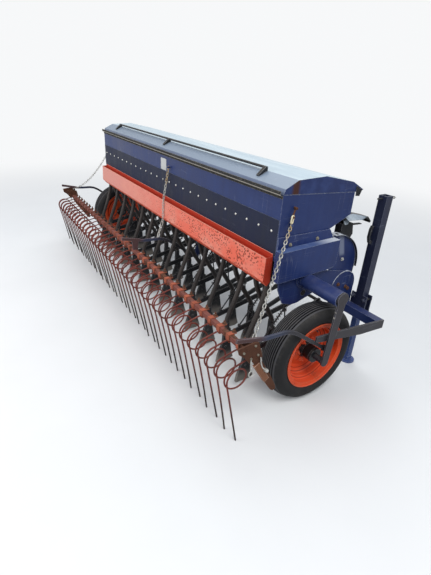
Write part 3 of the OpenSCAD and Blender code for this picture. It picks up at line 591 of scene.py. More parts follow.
def guard_paint():
    """Navy chain guard with painted shade on its rim, a painted highlight with dark marks on its top and a painted
    highlight streak on its face.
    """
    finish = Finish(0.34).paint("navy", "navy_faded", 0.9)
    graph = finish.graph
    spot = finish.spot
    face = graph.above(finish.facing["X"], 0.7, 0.9)
    # Painted highlight: a pale streak leaning across the upper face
    lean = graph.math("SUBTRACT", spot["Y"], graph.product(spot["Z"], HIGHLIGHT_LEAN))
    streak = graph.below(graph.gap(lean, AXLE_Y + HIGHLIGHT_Y), 0.014, 0.030)
    high = graph.above(spot["Z"], 0.84, 0.87)
    finish.cover(graph.product(streak, high, face, 0.5), PALE_WEAR_AND_HIGHLIGHT, 0.5)
    # Painted shade: the rim beyond the face and the lip are painted black, leaving a thin pale line next to the
    # face
    side = graph.size_of(spot["X"])
    outside = graph.above(graph.reach(spot, *GUARD_CENTRE), GUARD_R - 0.006, GUARD_R - 0.005)
    lip = graph.above(side, GUARD_FACE_X + 0.0005, GUARD_FACE_X + 0.0015)
    finish.cover(graph.math("MAXIMUM", graph.product(outside, face), lip), (0.010, 0.010, 0.013), 0.5)
    seam = graph.below(side, GUARD_FACE_X + 0.0035, GUARD_FACE_X + 0.0045)
    finish.cover(graph.product(lip, seam), (0.50, 0.52, 0.55), 0.5)
    # Painted highlight: glare on the top face, with dark marks
    top = graph.product(graph.above(finish.facing["Z"], 0.70, 0.90), graph.above(spot["Z"], 0.95, 0.96))
    marks = graph.noise(graph.stretched(finish.place, (90.0, 26.0, 26.0)), 1.0, roughness=0.6)
    finish.cover(top, graph.mix(graph.above(marks, 0.40, 0.46), (0.030, 0.030, 0.040), GLARE), 0.4)
    return finish.wear(0.6, PALE_WEAR_AND_HIGHLIGHT).rust(0.12).done()


def hopper_paint():
    """Navy paint of the hopper."""
    finish = Finish(0.32).paint("navy", "navy_faded", 0.7)
    return finish.scratch(0.25, PALE_WEAR_AND_HIGHLIGHT).wear(0.9, PALE_WEAR_AND_HIGHLIGHT).rust(0.10, 26.0).dust(0.07).done()


def band_paint():
    """Dark paint of the plate above the metering units, with soil specks."""
    finish = Finish(0.5).paint("band", (0.009, 0.014, 0.042), 0.8)
    finish.scratch(0.35, (0.12, 0.13, 0.17)).wear(0.5, PALE_WEAR_AND_HIGHLIGHT).rust(0.22, 40.0)
    return finish.dust(0.07).done(bump=0.4)


LID_PATCH_Y = -0.118


def lid_paint():
    """Lid: lilac behind, paler on the sloping facet and palest on top, partly bleached paint and partly a painted
    sky reflection; navy at the ends with a rust patch.
    """
    finish = Finish(0.30).paint("lid_rear", (0.16, 0.20, 0.29), 0.6)
    graph = finish.graph
    # Painted sky reflection, partly: the sloping facet and the top are painted paler by how they face; the rest is
    # bleached paint
    finish.cover(graph.above(finish.facing["Z"], 0.45, 0.60), (0.20, 0.25, 0.32), 0.4)
    cloud = graph.noise(graph.stretched(finish.place, (0.9, 7.0, 7.0)), 1.6, detail=5.0, roughness=0.6)
    pale = graph.mix(graph.above(cloud, 0.35, 0.68), "lid_top", (0.50, 0.60, 0.65))
    finish.cover(graph.above(finish.facing["Z"], 0.90, 0.97), pale, 0.34)
    end = graph.above(graph.size_of(finish.facing["X"]), 0.5, 0.7)
    finish.cover(end, graph.mix(graph.above(cloud, 0.4, 0.7), "navy", "navy_faded"), 0.4)
    patch = finish.ragged_below(graph.gap(finish.spot["Y"], AXLE_Y + LID_PATCH_Y), 0.012, 0.022, 30.0, 0.03)
    right_end = graph.above(finish.facing["X"], 0.5, 0.7)
    finish.cover(graph.product(patch, right_end), (0.060, 0.024, 0.020), 0.8)
    finish.scratch(0.25, PALE_WEAR_AND_HIGHLIGHT).wear(0.7, (0.46, 0.50, 0.56), width=0.005).rust(0.16, 30.0)
    return finish.dust(0.06).done()


def tray_paint():
    """Orange tray, bleached on its face, with more rust specks to the right, painted shade inside the trough and
    painted highlights on its lips.
    """
    finish = Finish(0.42).paint("orange", "bleached", 0.55)
    graph = finish.graph
    spot = finish.spot
    face = graph.above(graph.product(finish.facing["Y"], -1.0), 0.7, 0.9)
    streak = graph.noise(graph.stretched(finish.place, (1.0, 4.0, 1.6)), 3.6, detail=5.0, roughness=0.68)
    shade = graph.mix(graph.below(spot["X"], -1.5, 0.9), "bleached", (0.74, 0.32, 0.27))
    finish.cover(face, graph.mix(graph.above(streak, 0.40, 0.80), shade, (0.80, 0.33, 0.25)), 0.55)
    finish.cover(graph.above(graph.size_of(finish.facing["X"]), 0.7, 0.9), (0.40, 0.034, 0.014), 0.5)
    size = graph.between(graph.above(spot["X"], -0.9, 1.5), 0.08, 0.38)
    speck = graph.below(graph.cells(finish.place, 62.0), size, graph.math("ADD", size, 0.08))
    patch = graph.above(graph.noise(finish.place, 9.0), 0.34, 0.52)
    finish.cover(graph.product(speck, face, patch, 0.85), (0.20, 0.035, 0.020), 0.8, metallic=0.0, lift=0.4)
    lip_y, lip_z = TROUGH_LIP
    # Painted shade: darker red inside the trough, behind the front lip
    behind = graph.above(spot["Y"], AXLE_Y + lip_y + 0.0005, AXLE_Y + lip_y + 0.0015)
    inside = graph.product(behind, graph.above(spot["Z"], lip_z - 0.040, lip_z - 0.037))
    finish.cover(inside, (0.44, 0.034, 0.013), 0.6)
    # Painted highlights: pale lines along the front and rear lips
    front_lip_highlight = graph.product(face, graph.above(spot["Z"], lip_z - 0.005, lip_z - 0.003))
    front_lip_highlight = graph.product(front_lip_highlight, graph.math("SUBTRACT", 1.0, behind))
    rear_lip_highlight = graph.above(spot["Z"], TROUGH_REAR_Z - 0.003, TROUGH_REAR_Z - 0.002)
    finish.cover(graph.math("MAXIMUM", front_lip_highlight, rear_lip_highlight), (0.80, 0.34, 0.25), 0.6)
    return finish.scratch(0.3, (0.75, 0.42, 0.34)).wear(0.4, (0.66, 0.26, 0.18)).rust(0.22, 34.0).done()


RIM_RINGS = (0.150, 0.171, 0.188)
GREASE_R = 0.058


def rim_paint():
    """Bright orange-red rim with grime in its hollow, dark ring lines and grease round the hub."""
    finish = Finish(0.42).paint("orange", (0.80, 0.12, 0.030), 0.6)
    graph = finish.graph
    grime = graph.above(graph.noise(finish.place, 11.0, detail=6.0, roughness=0.7), 0.52, 0.72)
    finish.cover(graph.product(grime, 0.45), (0.16, 0.025, 0.014), 0.8)
    finish.scratch(0.3, (0.7, 0.3, 0.2)).wear(0.6, (0.82, 0.34, 0.22)).rust(0.18, 40.0)
    finish.dust(0.15, splash=0.3)
    reach = graph.reach(finish.spot, 0.0, WHEEL_PLACE.z)
    for ring in RIM_RINGS:
        line = graph.below(graph.gap(reach, ring), 0.0012, 0.0028)
        finish.cover(graph.product(line, 0.8), (0.15, 0.020, 0.012), 0.7)
    ragged = graph.math("ADD", reach, graph.product(graph.noise(finish.place, 24.0), 0.03))
    grease = graph.below(ragged, GREASE_R + 0.012, GREASE_R + 0.022)
    return finish.cover(grease, (0.012, 0.010, 0.010), 0.45).done()


ARM_BOLTS = ((0.000, 0.678), (-0.002, 0.643))


def arm_paint():
    """Worn grey-blue paint of arms and outriggers, bluer and browner behind, with two pale painted highlights on
    bolt heads.
    """
    finish = Finish(0.42).paint("steel_blue", (0.052, 0.047, 0.052), 0.8)
    graph = finish.graph
    rear = graph.below(finish.spot["Y"], -0.40, -0.26)
    finish.cover(graph.product(rear, 0.7), (0.040, 0.055, 0.110), 0.5)
    end = graph.below(finish.spot["Y"], -0.52, -0.44)
    finish.cover(graph.product(end, 0.7), (0.110, 0.050, 0.034), 0.8)
    finish.scratch(0.35, PALE_WEAR_AND_HIGHLIGHT).wear(0.9, (0.26, 0.27, 0.31)).rust(0.34, 24.0).dust(0.2)
    # Painted highlights: two pale discs where bolt heads catch the light
    for bolt in ARM_BOLTS:
        head = graph.below(graph.reach(finish.spot, *bolt), 0.007, 0.009)
        finish.cover(graph.product(head, 0.8), (0.30, 0.28, 0.25), 0.5)
    return finish.done()


def black_paint():
    """Dusty black paint of coulters and rods; its pale edges are worn paint and painted highlights."""
    finish = Finish(0.40).paint("black", (0.028, 0.029, 0.034), 0.8)
    return finish.wear(0.9, (0.40, 0.40, 0.41), width=0.003).rust(0.20, 30.0).dust(0.20, splash=0.35).done()


def shoe_steel():
    """Black shoes whose tips are scoured by soil."""
    finish = Finish(0.42).paint("black", (0.040, 0.040, 0.044), 0.8)
    low = finish.ragged_below(finish.spot["Z"], 0.07, 0.09, 16.0, 0.09)
    finish.cover(low, (0.21, 0.19, 0.17), 0.38, metallic=0.8)
    return finish.wear(0.8, (0.36, 0.35, 0.34), width=0.003).rust(0.42, 34.0).dust(0.14, splash=0.3).done()


def salmon_paint():
    """Worn salmon-red paint of the harrow beam."""
    finish = Finish(0.55).paint("salmon", (0.25, 0.080, 0.060), 0.8)
    return finish.wear(0.8, (0.14, 0.06, 0.04)).rust(0.66, 22.0).dust(0.12).done(bump=0.5)


def tine_paint():
    """Old red paint on spring wire, dark at the tips."""
    finish = Finish(0.50).paint("tine_red", (0.25, 0.058, 0.042), 0.9)
    low = finish.ragged_below(finish.spot["Z"], 0.12, 0.24, 20.0, 0.2)
    finish.cover(low, (0.040, 0.026, 0.022), 0.6, metallic=0.3)
    return finish.rust(0.46, 45.0).dust(0.12, splash=0.08).done(bump=0.4)


def rusty_steel():
    """Steel rusted all over."""
    finish = Finish(0.85).paint("rusty", (0.160, 0.070, 0.040), 0.9)
    return finish.rust(0.70, 40.0).wear(0.6, (0.34, 0.20, 0.14), width=0.003).done(bump=0.7)


def pale_cover():
    """Bleached grey-blue paint of the gearbox cover."""
    finish = Finish(0.5).paint("box_cover", (0.50, 0.56, 0.60), 0.9)
    return finish.scratch(0.5, (0.06, 0.07, 0.10)).wear(0.5, (0.05, 0.05, 0.06)).rust(0.2, 40.0).done()


def yellow_zinc():
    """Yellow passivated zinc."""
    finish = Finish(0.45, metallic=0.4).paint("yellow", (0.80, 0.74, 0.56), 0.9)
    return finish.rust(0.12, 90.0).done(bump=0.3)


def dull_steel():
    """Bolts whose zinc has gone olive brown."""
    finish = Finish(0.6, metallic=0.2).paint((0.20, 0.18, 0.14), (0.36, 0.33, 0.26), 0.9)
    return finish.rust(0.40, 90.0).done(bump=0.4)


GUTTER_LIP = 0.021


def gutter_steel():
    """Dark gutter with pale lichen, and a painted highlight along its outer lip."""
    finish = Finish(0.85).paint((0.018, 0.018, 0.020), (0.050, 0.047, 0.043), 0.9)
    graph = finish.graph
    lichen = graph.above(graph.noise(finish.place, 60.0, detail=5.0, roughness=0.75), 0.54, 0.62)
    finish.cover(graph.product(lichen, 0.25), (0.26, 0.25, 0.21), 0.95, metallic=0.0, lift=0.6)
    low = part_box("hopper_gutter")[0]
    # Painted highlight: a pale line along the outer lip
    outside = graph.below(finish.spot["Y"], low.y + 0.0005, low.y + 0.0015)
    lip = graph.below(finish.spot["Z"], low.z + GUTTER_LIP + 0.004, low.z + GUTTER_LIP + 0.006)
    finish.cover(graph.product(outside, lip, 0.8), (0.40, 0.37, 0.32), 0.8)
    return finish.wear(0.8, (0.40, 0.38, 0.34), width=0.003).rust(0.4, 40.0).done(bump=0.6)


def clamp_paint():
    """Red paint of the tines' clamps, rusted through, more so to the left."""
    finish = Finish(0.6).paint("clamp_red", (0.26, 0.075, 0.045), 0.9)
    graph = finish.graph
    finish.cover(graph.product(graph.below(finish.spot["X"], -1.4, 0.4), 0.8), "rust_dark", 0.8)
    return finish.wear(0.8, (0.14, 0.07, 0.05), width=0.003).rust(0.45, 50.0).done(bump=0.6)


def prong_steel():
    """Light brown rust with bright edges: steel worn bare, and painted highlights along the edges."""
    finish = Finish(0.7).paint((0.21, 0.085, 0.045), (0.30, 0.15, 0.09), 0.8)
    return finish.wear(1.0, (0.62, 0.50, 0.42), width=0.005).rust(0.35, 50.0).done(bump=0.5)


def spring_steel():
    """Black springs rubbed grey on their turns."""
    finish = Finish(0.45).paint((0.020, 0.020, 0.022), (0.060, 0.058, 0.056), 0.9)
    return finish.rust(0.30, 60.0).dust(0.3, splash=0.35).done(bump=0.3)


def zinc_coat():
    """Dull galvanised steel with spangle and white rust."""
    finish = Finish(0.42, metallic=0.85).paint("zinc", (0.66, 0.66, 0.63), 0.9)
    graph = finish.graph
    spangle = graph.above(graph.cells(finish.place, 420.0), 0.25, 0.6)
    finish.cover(graph.product(spangle, 0.3), (0.36, 0.36, 0.35), 0.5)
    return finish.rust(0.14, 60.0).dust(0.15, splash=0.1).done()


def chain_steel():
    """Galvanised chain whose top links are rusty yellow."""
    finish = Finish(0.42, metallic=0.6).paint("chain", (0.58, 0.58, 0.55), 0.9)
    graph = finish.graph
    patch = graph.above(graph.noise(finish.place, 90.0), 0.40, 0.55)
    high = graph.above(finish.spot["Z"], 1.03, 1.10)
    finish.cover(graph.product(high, patch), (0.42, 0.28, 0.11), 0.75, metallic=0.2)
    return finish.rust(0.42, 70.0).done()


def tyre_rubber():
    """Weathered tyre rubber, grey on the tread's ribs and dark in its grooves."""
    finish = Finish(0.70).paint("rubber", (0.026, 0.025, 0.026), 0.8)
    finish.wear(0.9, (0.22, 0.22, 0.23), width=0.003)
    graph = finish.graph
    low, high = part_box("tyre_right")
    side = graph.math("SUBTRACT", graph.size_of(finish.spot["X"]), WHEEL_PLACE.x)
    across = graph.math("DIVIDE", side, (high.x - low.x) / 2 - TREAD_SHOULDER)
    crown = graph.math("SUBTRACT", (high.z - low.z) / 2, graph.product(across, across, TREAD_DROP))
    depth = graph.math("SUBTRACT", crown, graph.reach(finish.spot, 0.0, WHEEL_PLACE.z))
    ribbed = graph.below(graph.size_of(across), 0.98, 1.03)
    rib = graph.below(depth, 0.002, 0.004)
    finish.cover(graph.product(ribbed, graph.math("SUBTRACT", 1.0, rib)), (0.005, 0.005, 0.006), 0.9)
    finish.cover(graph.product(ribbed, rib), (0.050, 0.050, 0.055), 0.6)
    tread = graph.below(graph.size_of(side), 0.060, 0.078)
    soil = graph.above(graph.noise(finish.place, 26.0, detail=6.0, roughness=0.75), 0.46, 0.66)
    finish.cover(graph.product(tread, soil, 0.3), (0.08, 0.075, 0.07), 0.95, metallic=0.0, lift=0.3)
    return finish.dust(0.12, splash=0.12).done(bump=0.35)


def hose_rubber():
    """Nearly black hose with dried mud."""
    finish = Finish(0.42).paint("hose", (0.052, 0.042, 0.038), 0.9)
    return finish.dust(0.18, splash=0.1).done(bump=0.2)


def leg_paint():
    """Brighter blue paint of the stand's leg, chipped at its foot."""
    finish = Finish(0.35).paint("leg_blue", (0.050, 0.090, 0.250), 0.7)
    finish.scratch(0.6, PALE_WEAR_AND_HIGHLIGHT).wear(0.9, (0.42, 0.45, 0.52)).rust(0.2, 30.0)
    return finish.dust(0.15, splash=0.08).done()


def post_paint():
    """Nearly black navy paint of the stands' housings."""
    finish = Finish(0.4).paint("post_navy", (0.022, 0.028, 0.062), 0.8)
    return finish.scratch(0.3, PALE_WEAR_AND_HIGHLIGHT).wear(0.85, (0.24, 0.26, 0.32)).rust(0.2, 30.0).dust(0.06).done()


def plate_paint():
    """White paint of the blank plate, with a little grime."""
    return Finish(0.5).paint("plate", (0.50, 0.50, 0.49), 0.8).rust(0.2, 60.0).done()


# The finish of each CAD node whose name starts with these words; the longest match counts
NODE_FINISH = {
    "hopper": hopper_paint,
    "hopper_gutter": gutter_steel,
    "outlet_band": band_paint,
    "metering_units": black_paint,
    "metering_shaft": zinc_coat,
    "tray": tray_paint,
    "rate_gearbox": black_paint,
    "chain_guard": guard_paint,
    "gear_cover": cover_paint,
    "beam_bracket": bracket_paint,
    "wheel_arm": arm_paint,
    "outrigger": arm_paint,
    "coulter_rail": black_paint,
    "rockshaft": black_paint,
    "coulter_arms": black_paint,
    "coulter_shoes": shoe_steel,
    "pressure_springs": black_paint,
    "seed_tubes": hose_rubber,
    "chain": chain_steel,
    "lid": lid_paint,
    "lid_rail": black_paint,
    "tyre": tyre_rubber,
    "rim": rim_paint,
    "stand_leg": leg_paint,
    "stand_housing": post_paint,
    "harrow_arm": arm_paint,
    "harrow_beam": salmon_paint,
    "harrow_brackets": rusty_steel,
    "harrow_tines": tine_paint,
}
MATERIALS = {}


def finish_of(maker):
    """The material that a finish function makes, made once and named after it."""
    name = maker.__name__
    if name not in MATERIALS:
        MATERIALS[name] = maker()
        MATERIALS[name].name = name
    return MATERIALS[name]


def node_finish(node):
    """The finish function of a CAD node; nodes that aren't listed are navy."""
    names = [name for name in NODE_FINISH if node.startswith(name)]
    return NODE_FINISH[max(names, key=len)] if names else navy_paint


# Making pieces


def new_piece(name, bm, finish, body, sharp=35.0):
    """Makes a piece of a bmesh and dresses it."""
    bmesh.ops.recalc_face_normals(bm, faces=bm.faces)
    mesh = bpy.data.meshes.new(name)
    bm.to_mesh(mesh)
    bm.free()
    return dress(bpy.data.objects.new(name, mesh), finish, body, sharp)


def dress(piece, finish, body, sharp=35.0):
    """Links a mesh piece, smooths it and gives it its finish and the body that it rides on."""
    bpy.context.scene.collection.objects.link(piece)
    piece.data.polygons.foreach_set("use_smooth", [True] * len(piece.data.polygons))
    piece.data.set_sharp_from_angle(angle=math.radians(sharp))
    piece.data.materials.clear()
    piece.data.materials.append(finish_of(finish))
    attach(piece, body)
    return piece


def turned_to(axis):
    """Rotation that takes +Z to the axis."""
    return Vector(axis).to_track_quat("Z", "Y").to_matrix().to_4x4()


def add_round(bm, start, end, radius, sides=16, end_radius=None):
    """Adds a cylinder or cone between two points."""
    start = Vector(start)
    end = Vector(end)
    place = Matrix.Translation((start + end) / 2) @ turned_to(end - start)
    bmesh.ops.create_cone(
        bm, cap_ends=True, segments=sides, radius1=radius,
        radius2=radius if end_radius is None else end_radius, depth=(end - start).length, matrix=place,
    )


def add_block(bm, low, high, bevel):
    """Adds a box between two corners, with bevelled edges."""
    low = Vector(low)
    high = Vector(high)
    place = Matrix.Translation((low + high) / 2) @ Matrix.Diagonal((*(high - low), 1.0))
    made = bmesh.ops.create_cube(bm, size=1.0, matrix=place)
    edges = {edge for vert in made["verts"] for edge in vert.link_edges}
    bmesh.ops.bevel(
        bm, geom=list(edges), offset=bevel, segments=2, profile=0.5, affect="EDGES", material=-1
    )


def add_bolt(bm, seat, axis, head, washer=True, stud=0.0):
    """Adds a hexagon head as wide as head on its washer, with a stud end if one is given."""
    washer_t = 0.0022
    axis = Vector(axis).normalized()
    seat = Vector(seat)
    if washer:
        add_round(bm, seat, seat + axis * washer_t, head * 0.88, 20)
        seat = seat + axis * washer_t
    top = seat + axis * head * 0.55
    add_round(bm, seat, top, head / math.sqrt(3.0), 6)
    add_round(bm, top, top + axis * head * 0.08, head * 0.52, 12, head * 0.42)
    if stud > 0.0:
        add_round(bm, top, top + axis * stud, head * 0.31, 12)


def add_dome(bm, seat, axis, radius, height=0.005):
    """Adds the round head of a carriage bolt, as three cones."""
    start = Vector(seat)
    for share, wide, narrow in ((0.45, 1.0, 0.88), (0.35, 0.88, 0.6), (0.2, 0.6, 0.15)):
        end = start + axis * height * share
        add_round(bm, start, end, radius * wide, 14, radius * narrow)
        start = end


def add_sheet(bm, corners, way):
    """Adds a flat face with these corners in turn, extruded along a way."""
    face = bm.faces.new([bm.verts.new(corner) for corner in corners])
    made = bmesh.ops.extrude_face_region(bm, geom=[face])
    moved = [v for v in made["geom"] if isinstance(v, bmesh.types.BMVert)]
    bmesh.ops.translate(bm, verts=moved, vec=way)


def add_outline(bm, outline, x0, x1):
    """Adds a plate between two places along X; its outline's Y is counted from the wheel axle."""
    add_sheet(bm, [at(x0, y, z) for y, z in outline], AXIS_X * (x1 - x0))


def add_spun(bm, profile, centre, segments):
    """Adds a closed (radius, X) profile spun about the X axis through a centre."""
    verts = [bm.verts.new(centre + Vector((x, 0.0, radius))) for radius, x in profile]
    edges = [bm.edges.new((verts[i - 1], verts[i])) for i in range(len(verts))]
    bmesh.ops.spin(
        bm, geom=verts + edges, cent=centre, axis=AXIS_X, angle=math.tau, steps=segments, use_merge=True
    )


def tube_piece(name, paths, radius, finish, body, resolution=2, closed=False, swell=None):
    """A piece of round tubes that follow paths of points, their radius scaled by swell at each point."""
    curve = bpy.data.curves.new(name, "CURVE")
    curve.dimensions = "3D"
    curve.bevel_depth = radius
    curve.bevel_resolution = resolution
    curve.use_fill_caps = True
    curve.twist_mode = "MINIMUM"
    for path in paths:
        spline = curve.splines.new("POLY")
        spline.points.add(len(path) - 1)
        spline.points.foreach_set("co", [c for p in path for c in (*p, 1.0)])
        if swell is not None:
            spline.points.foreach_set("radius", [swell(i) for i in range(len(path))])
        spline.use_cyclic_u = closed
    holder = bpy.data.objects.new(name + "_line", curve)
    bpy.context.scene.collection.objects.link(holder)
    mesh = bpy.data.meshes.new_from_object(holder.evaluated_get(bpy.context.evaluated_depsgraph_get()))
    bpy.data.objects.remove(holder)
    mesh.name = name
    return dress(bpy.data.objects.new(name, mesh), finish, body)


def ring_point(place, radius, turn, rise=0.0):
    """A point of a ring or helix in a place's own XY plane."""
    return place @ Vector((radius * math.cos(turn), radius * math.sin(turn), rise))


def helix(start, end, radius, turns, steps=12):
    """Points of a coil spring between two places."""
    place = Matrix.Translation(start) @ turned_to(end - start)
    rise = (end - start).length / (turns * steps)
    return [ring_point(place, radius, math.tau / steps * i, rise * i) for i in range(turns * steps + 1)]


def ring(centre, axis, radius, steps=20):
    """Points of a ring about an axis."""
    place = Matrix.Translation(centre) @ turned_to(axis)
    return [ring_point(place, radius, math.tau / steps * i) for i in range(steps)]


def bolts_piece(name, seats, head, finish, body, washer=True, stud=0.0):
    """A piece of hexagon bolts, each with its seat and the direction that its head faces."""
    bm = bmesh.new()
    for seat, axis in seats:
        add_bolt(bm, seat, axis, head, washer, stud)
    return new_piece(name, bm, finish, body)


def smooth_path(points, step):
    """Evenly spaced points of a smooth line through the given points."""
    points = [Vector(p) for p in points]
    ends = [points[0] * 2 - points[1]] + points + [points[-1] * 2 - points[-2]]
    fine = []
    for i in range(1, len(ends) - 2):
        p0, p1, p2, p3 = ends[i - 1:i + 3]
        count = max(int((p2 - p1).length / step), 1)
        for k in range(count):
            t = k / count
            bend = (2 * p0 - 5 * p1 + 4 * p2 - p3) * t**2 + (3 * p1 - p0 - 3 * p2 + p3) * t**3
            fine.append(0.5 * (2 * p1 + (p2 - p0) * t + bend))
    return fine + [points[-1]]


def row_places():
    """Places of the seed rows along X."""
    s = sizes()
    return [(i - (s.rows - 1) / 2) * s.row_pitch for i in range(s.rows)]


def coulter_rows():
    """Each seed row as (X, Y of its shoe, Y of its pressure rod's foot); rear and front take turns."""
    ranks = ((SHOE_REAR_Y, -0.200), (SHOE_FRONT_Y, 0.110))
    return [(x, *ranks[i % 2]) for i, x in enumerate(row_places())]


# Pieces


class DRILL_OT_frame(bpy.types.Operator):
    """Gives every CAD node its finish"""

    bl_idname = "drill.frame"
    bl_label = "Frame finishes"
    bl_options = {"REGISTER", "UNDO"}

    def execute(self, _context):
        for name, node in frame["nodes"].items():
            node.data.materials.clear()
            node.data.materials.append(finish_of(node_finish(name)))
        return {"FINISHED"}


class DRILL_OT_tyres(bpy.types.Operator):
    """Two tyres with ribs round the tread"""

    bl_idname = "drill.tyres"
    bl_label = "Tyres"
    bl_options = {"REGISTER", "UNDO"}
    bead_drop = 0.125
    half_gap = 0.0045
    edge_round = 0.0006
    flank = 0.001
    segments = 112

    def section(self):
        """Closed (radius, X) section of the tyre, inside the frame's own tyre."""
        s = sizes()
        low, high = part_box("tyre_right")
        outer = (high.z - low.z) / 2
        half = (high.x - low.x) / 2
        bead = outer - self.bead_drop
        wall = [
            (bead, 0.0655), (bead + 0.012, 0.070), (bead + 0.024, 0.072), (bead + 0.030, 0.0765),
            (bead + 0.034, 0.0775), (bead + 0.038, 0.0795), (bead + 0.052, half - 0.001),
            (bead + 0.066, half), (bead + 0.078, half - 0.002), (bead + 0.086, half - 0.006),
            (bead + 0.092, half - 0.010), (outer - 0.021, half - 0.018), (outer - 0.0155, half - 0.028),
        ]
        crown = []
        flat = half - TREAD_SHOULDER
        pitch = 2 * flat / s.ribs
        reach = pitch / 2 - self.half_gap
        for i in range(s.ribs):
            middle = flat - pitch * (i + 0.5)
            rise = outer - TREAD_DROP * (middle / flat) ** 2
            drop = TREAD_DROP * 2 * middle / flat**2 * reach
            crown.append((rise - drop - self.edge_round, middle + reach))
            crown.append((rise, middle))
            crown.append((rise + drop - self.edge_round, middle - reach))
            if i < s.ribs - 1:
                crown.append((rise - s.groove, middle - reach - self.flank))
                crown.append((rise - s.groove, middle - reach - 2 * self.half_gap + self.flank))
        return wall + crown + [(r, -x) for r, x in reversed(wall)]

    def execute(self, _context):
        for side, name in SIDES:
            bm = bmesh.new()
            add_spun(bm, self.section(), wheel_middle(side), self.segments)
            piece = new_piece(f"tyre_tread_{name}", bm, tyre_rubber, f"wheel_{name}", 28.0)
            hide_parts(f"tyre_{name}")
        return {"FINISHED"}


class DRILL_OT_wheel_hardware(bpy.types.Operator):
    """Hub nuts, hub caps and valves"""

    bl_idname = "drill.wheel_hardware"
    bl_label = "Wheel hardware"
    bl_options = {"REGISTER", "UNDO"}
    nuts = 6
    nut_ring_r = 0.074
    hub_sink = 0.010
    stem = ((0.020, 0.176), (0.048, 0.170), (0.056, 0.168))

    def add_nuts(self, bm, middle, side):
        """Ring of nuts on the wheel's hub."""
        for i in range(self.nuts):
            turn = math.tau * i / self.nuts
            spoke = Vector((0.0, math.cos(turn), math.sin(turn))) * self.nut_ring_r
            seat = middle + spoke - AXIS_X * side * self.hub_sink
            add_bolt(bm, seat, AXIS_X * side, sizes().wheel_nut, stud=0.010)

    def execute(self, _context):
        for side, name in SIDES:
            middle = wheel_middle(side)
            out = AXIS_X * side
            body = f"wheel_{name}"
            nuts = bmesh.new()
            self.add_nuts(nuts, middle, side)
            new_piece(f"hub_nuts_{name}", nuts, rim_paint, body)
            caps = bmesh.new()
            add_round(caps, middle + out * 0.056, middle + out * 0.072, 0.050, 32, 0.047)
            add_round(caps, middle - out * 0.014, middle + out * 0.004, 0.056, 32, 0.050)
            new_piece(f"hub_caps_{name}", caps, black_paint, body)
            valve = bmesh.new()
            foot, neck, tip = (middle + Vector((x * side, 0.0, z)) for x, z in self.stem)
            add_round(valve, foot, neck, 0.0055, 12, 0.0045)
            add_round(valve, neck, tip, 0.005, 12)
            new_piece(f"valve_{name}", valve, black_paint, body)
        return {"FINISHED"}


class DRILL_OT_hopper_hardware(bpy.types.Operator):
    """Bolts, the lid's front corners and the blank plate of the hopper"""

    bl_idname = "drill.hopper_hardware"
    bl_label = "Hopper hardware"
    bl_options = {"REGISTER", "UNDO"}
    row_bolt_z = 1.074
    row_bolt_r = 0.008
    end_bolts = ((-0.112, 0.998), (0.103, 1.006))
    beam_bolts = ((0.452, 0.608), (0.478, 0.590), (0.372, 0.640))
    guard_bolt = (0.370, 0.823)
    corner = ((0.374, 1.300), (0.380, 1.238), (0.414, 1.234), (0.422, 1.252), (0.430, 1.272))
    corner_gap = 0.0003
    corner_t = 0.003
    wall_y = -0.205
    plate_x = (-0.040, 0.062)
    plate_z = (1.153, 1.245)
    plate_t = 0.0018

    def on_ends(self, x, places):
        """Each place on both of the hopper's ends, and the way that a bolt's head faces there."""
        return [(at(x * side, y, z), AXIS_X * side) for side, _ in SIDES for y, z in places]

    def bolts(self):
        """Bolts of the wall, of both ends and of the chain guard."""
        rear_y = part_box("outlet_band")[0].y
        row = bmesh.new()
        for x in row_places():
            add_dome(row, (x, rear_y, self.row_bolt_z), -AXIS_Y, self.row_bolt_r)
        new_piece("hopper_bolts", row, zinc_coat, "frame")
        end_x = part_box("end_frame_right")[1].x
        bracket_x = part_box("beam_bracket_right")[1].x
        ends = self.on_ends(end_x, self.end_bolts)
        beams = self.on_ends(bracket_x, self.beam_bolts)
        guard = [(at(end_x, *self.guard_bolt), AXIS_X)]
        bolts_piece("end_bolts", ends, 0.013, dull_steel, "frame")
        bolts_piece("beam_bolts", beams, 0.016, rusty_steel, "frame")
        bolts_piece("guard_bolt", guard, 0.014, zinc_coat, "frame")

    def execute(self, _context):
        self.bolts()
        corners = bmesh.new()
        inner_x = HOPPER_X + self.corner_gap
        for side, _ in SIDES:
            add_outline(corners, self.corner, side * inner_x, side * (inner_x + self.corner_t))
        new_piece("lid_corners", corners, black_paint, "lid")
        plate = bmesh.new()
        low = at(self.plate_x[0], self.wall_y - self.plate_t, self.plate_z[0])
        high = at(self.plate_x[1], self.wall_y, self.plate_z[1])
        add_block(plate, low, high, 0.0006)
        new_piece("blank_plate", plate, plate_paint, "frame")
        return {"FINISHED"}


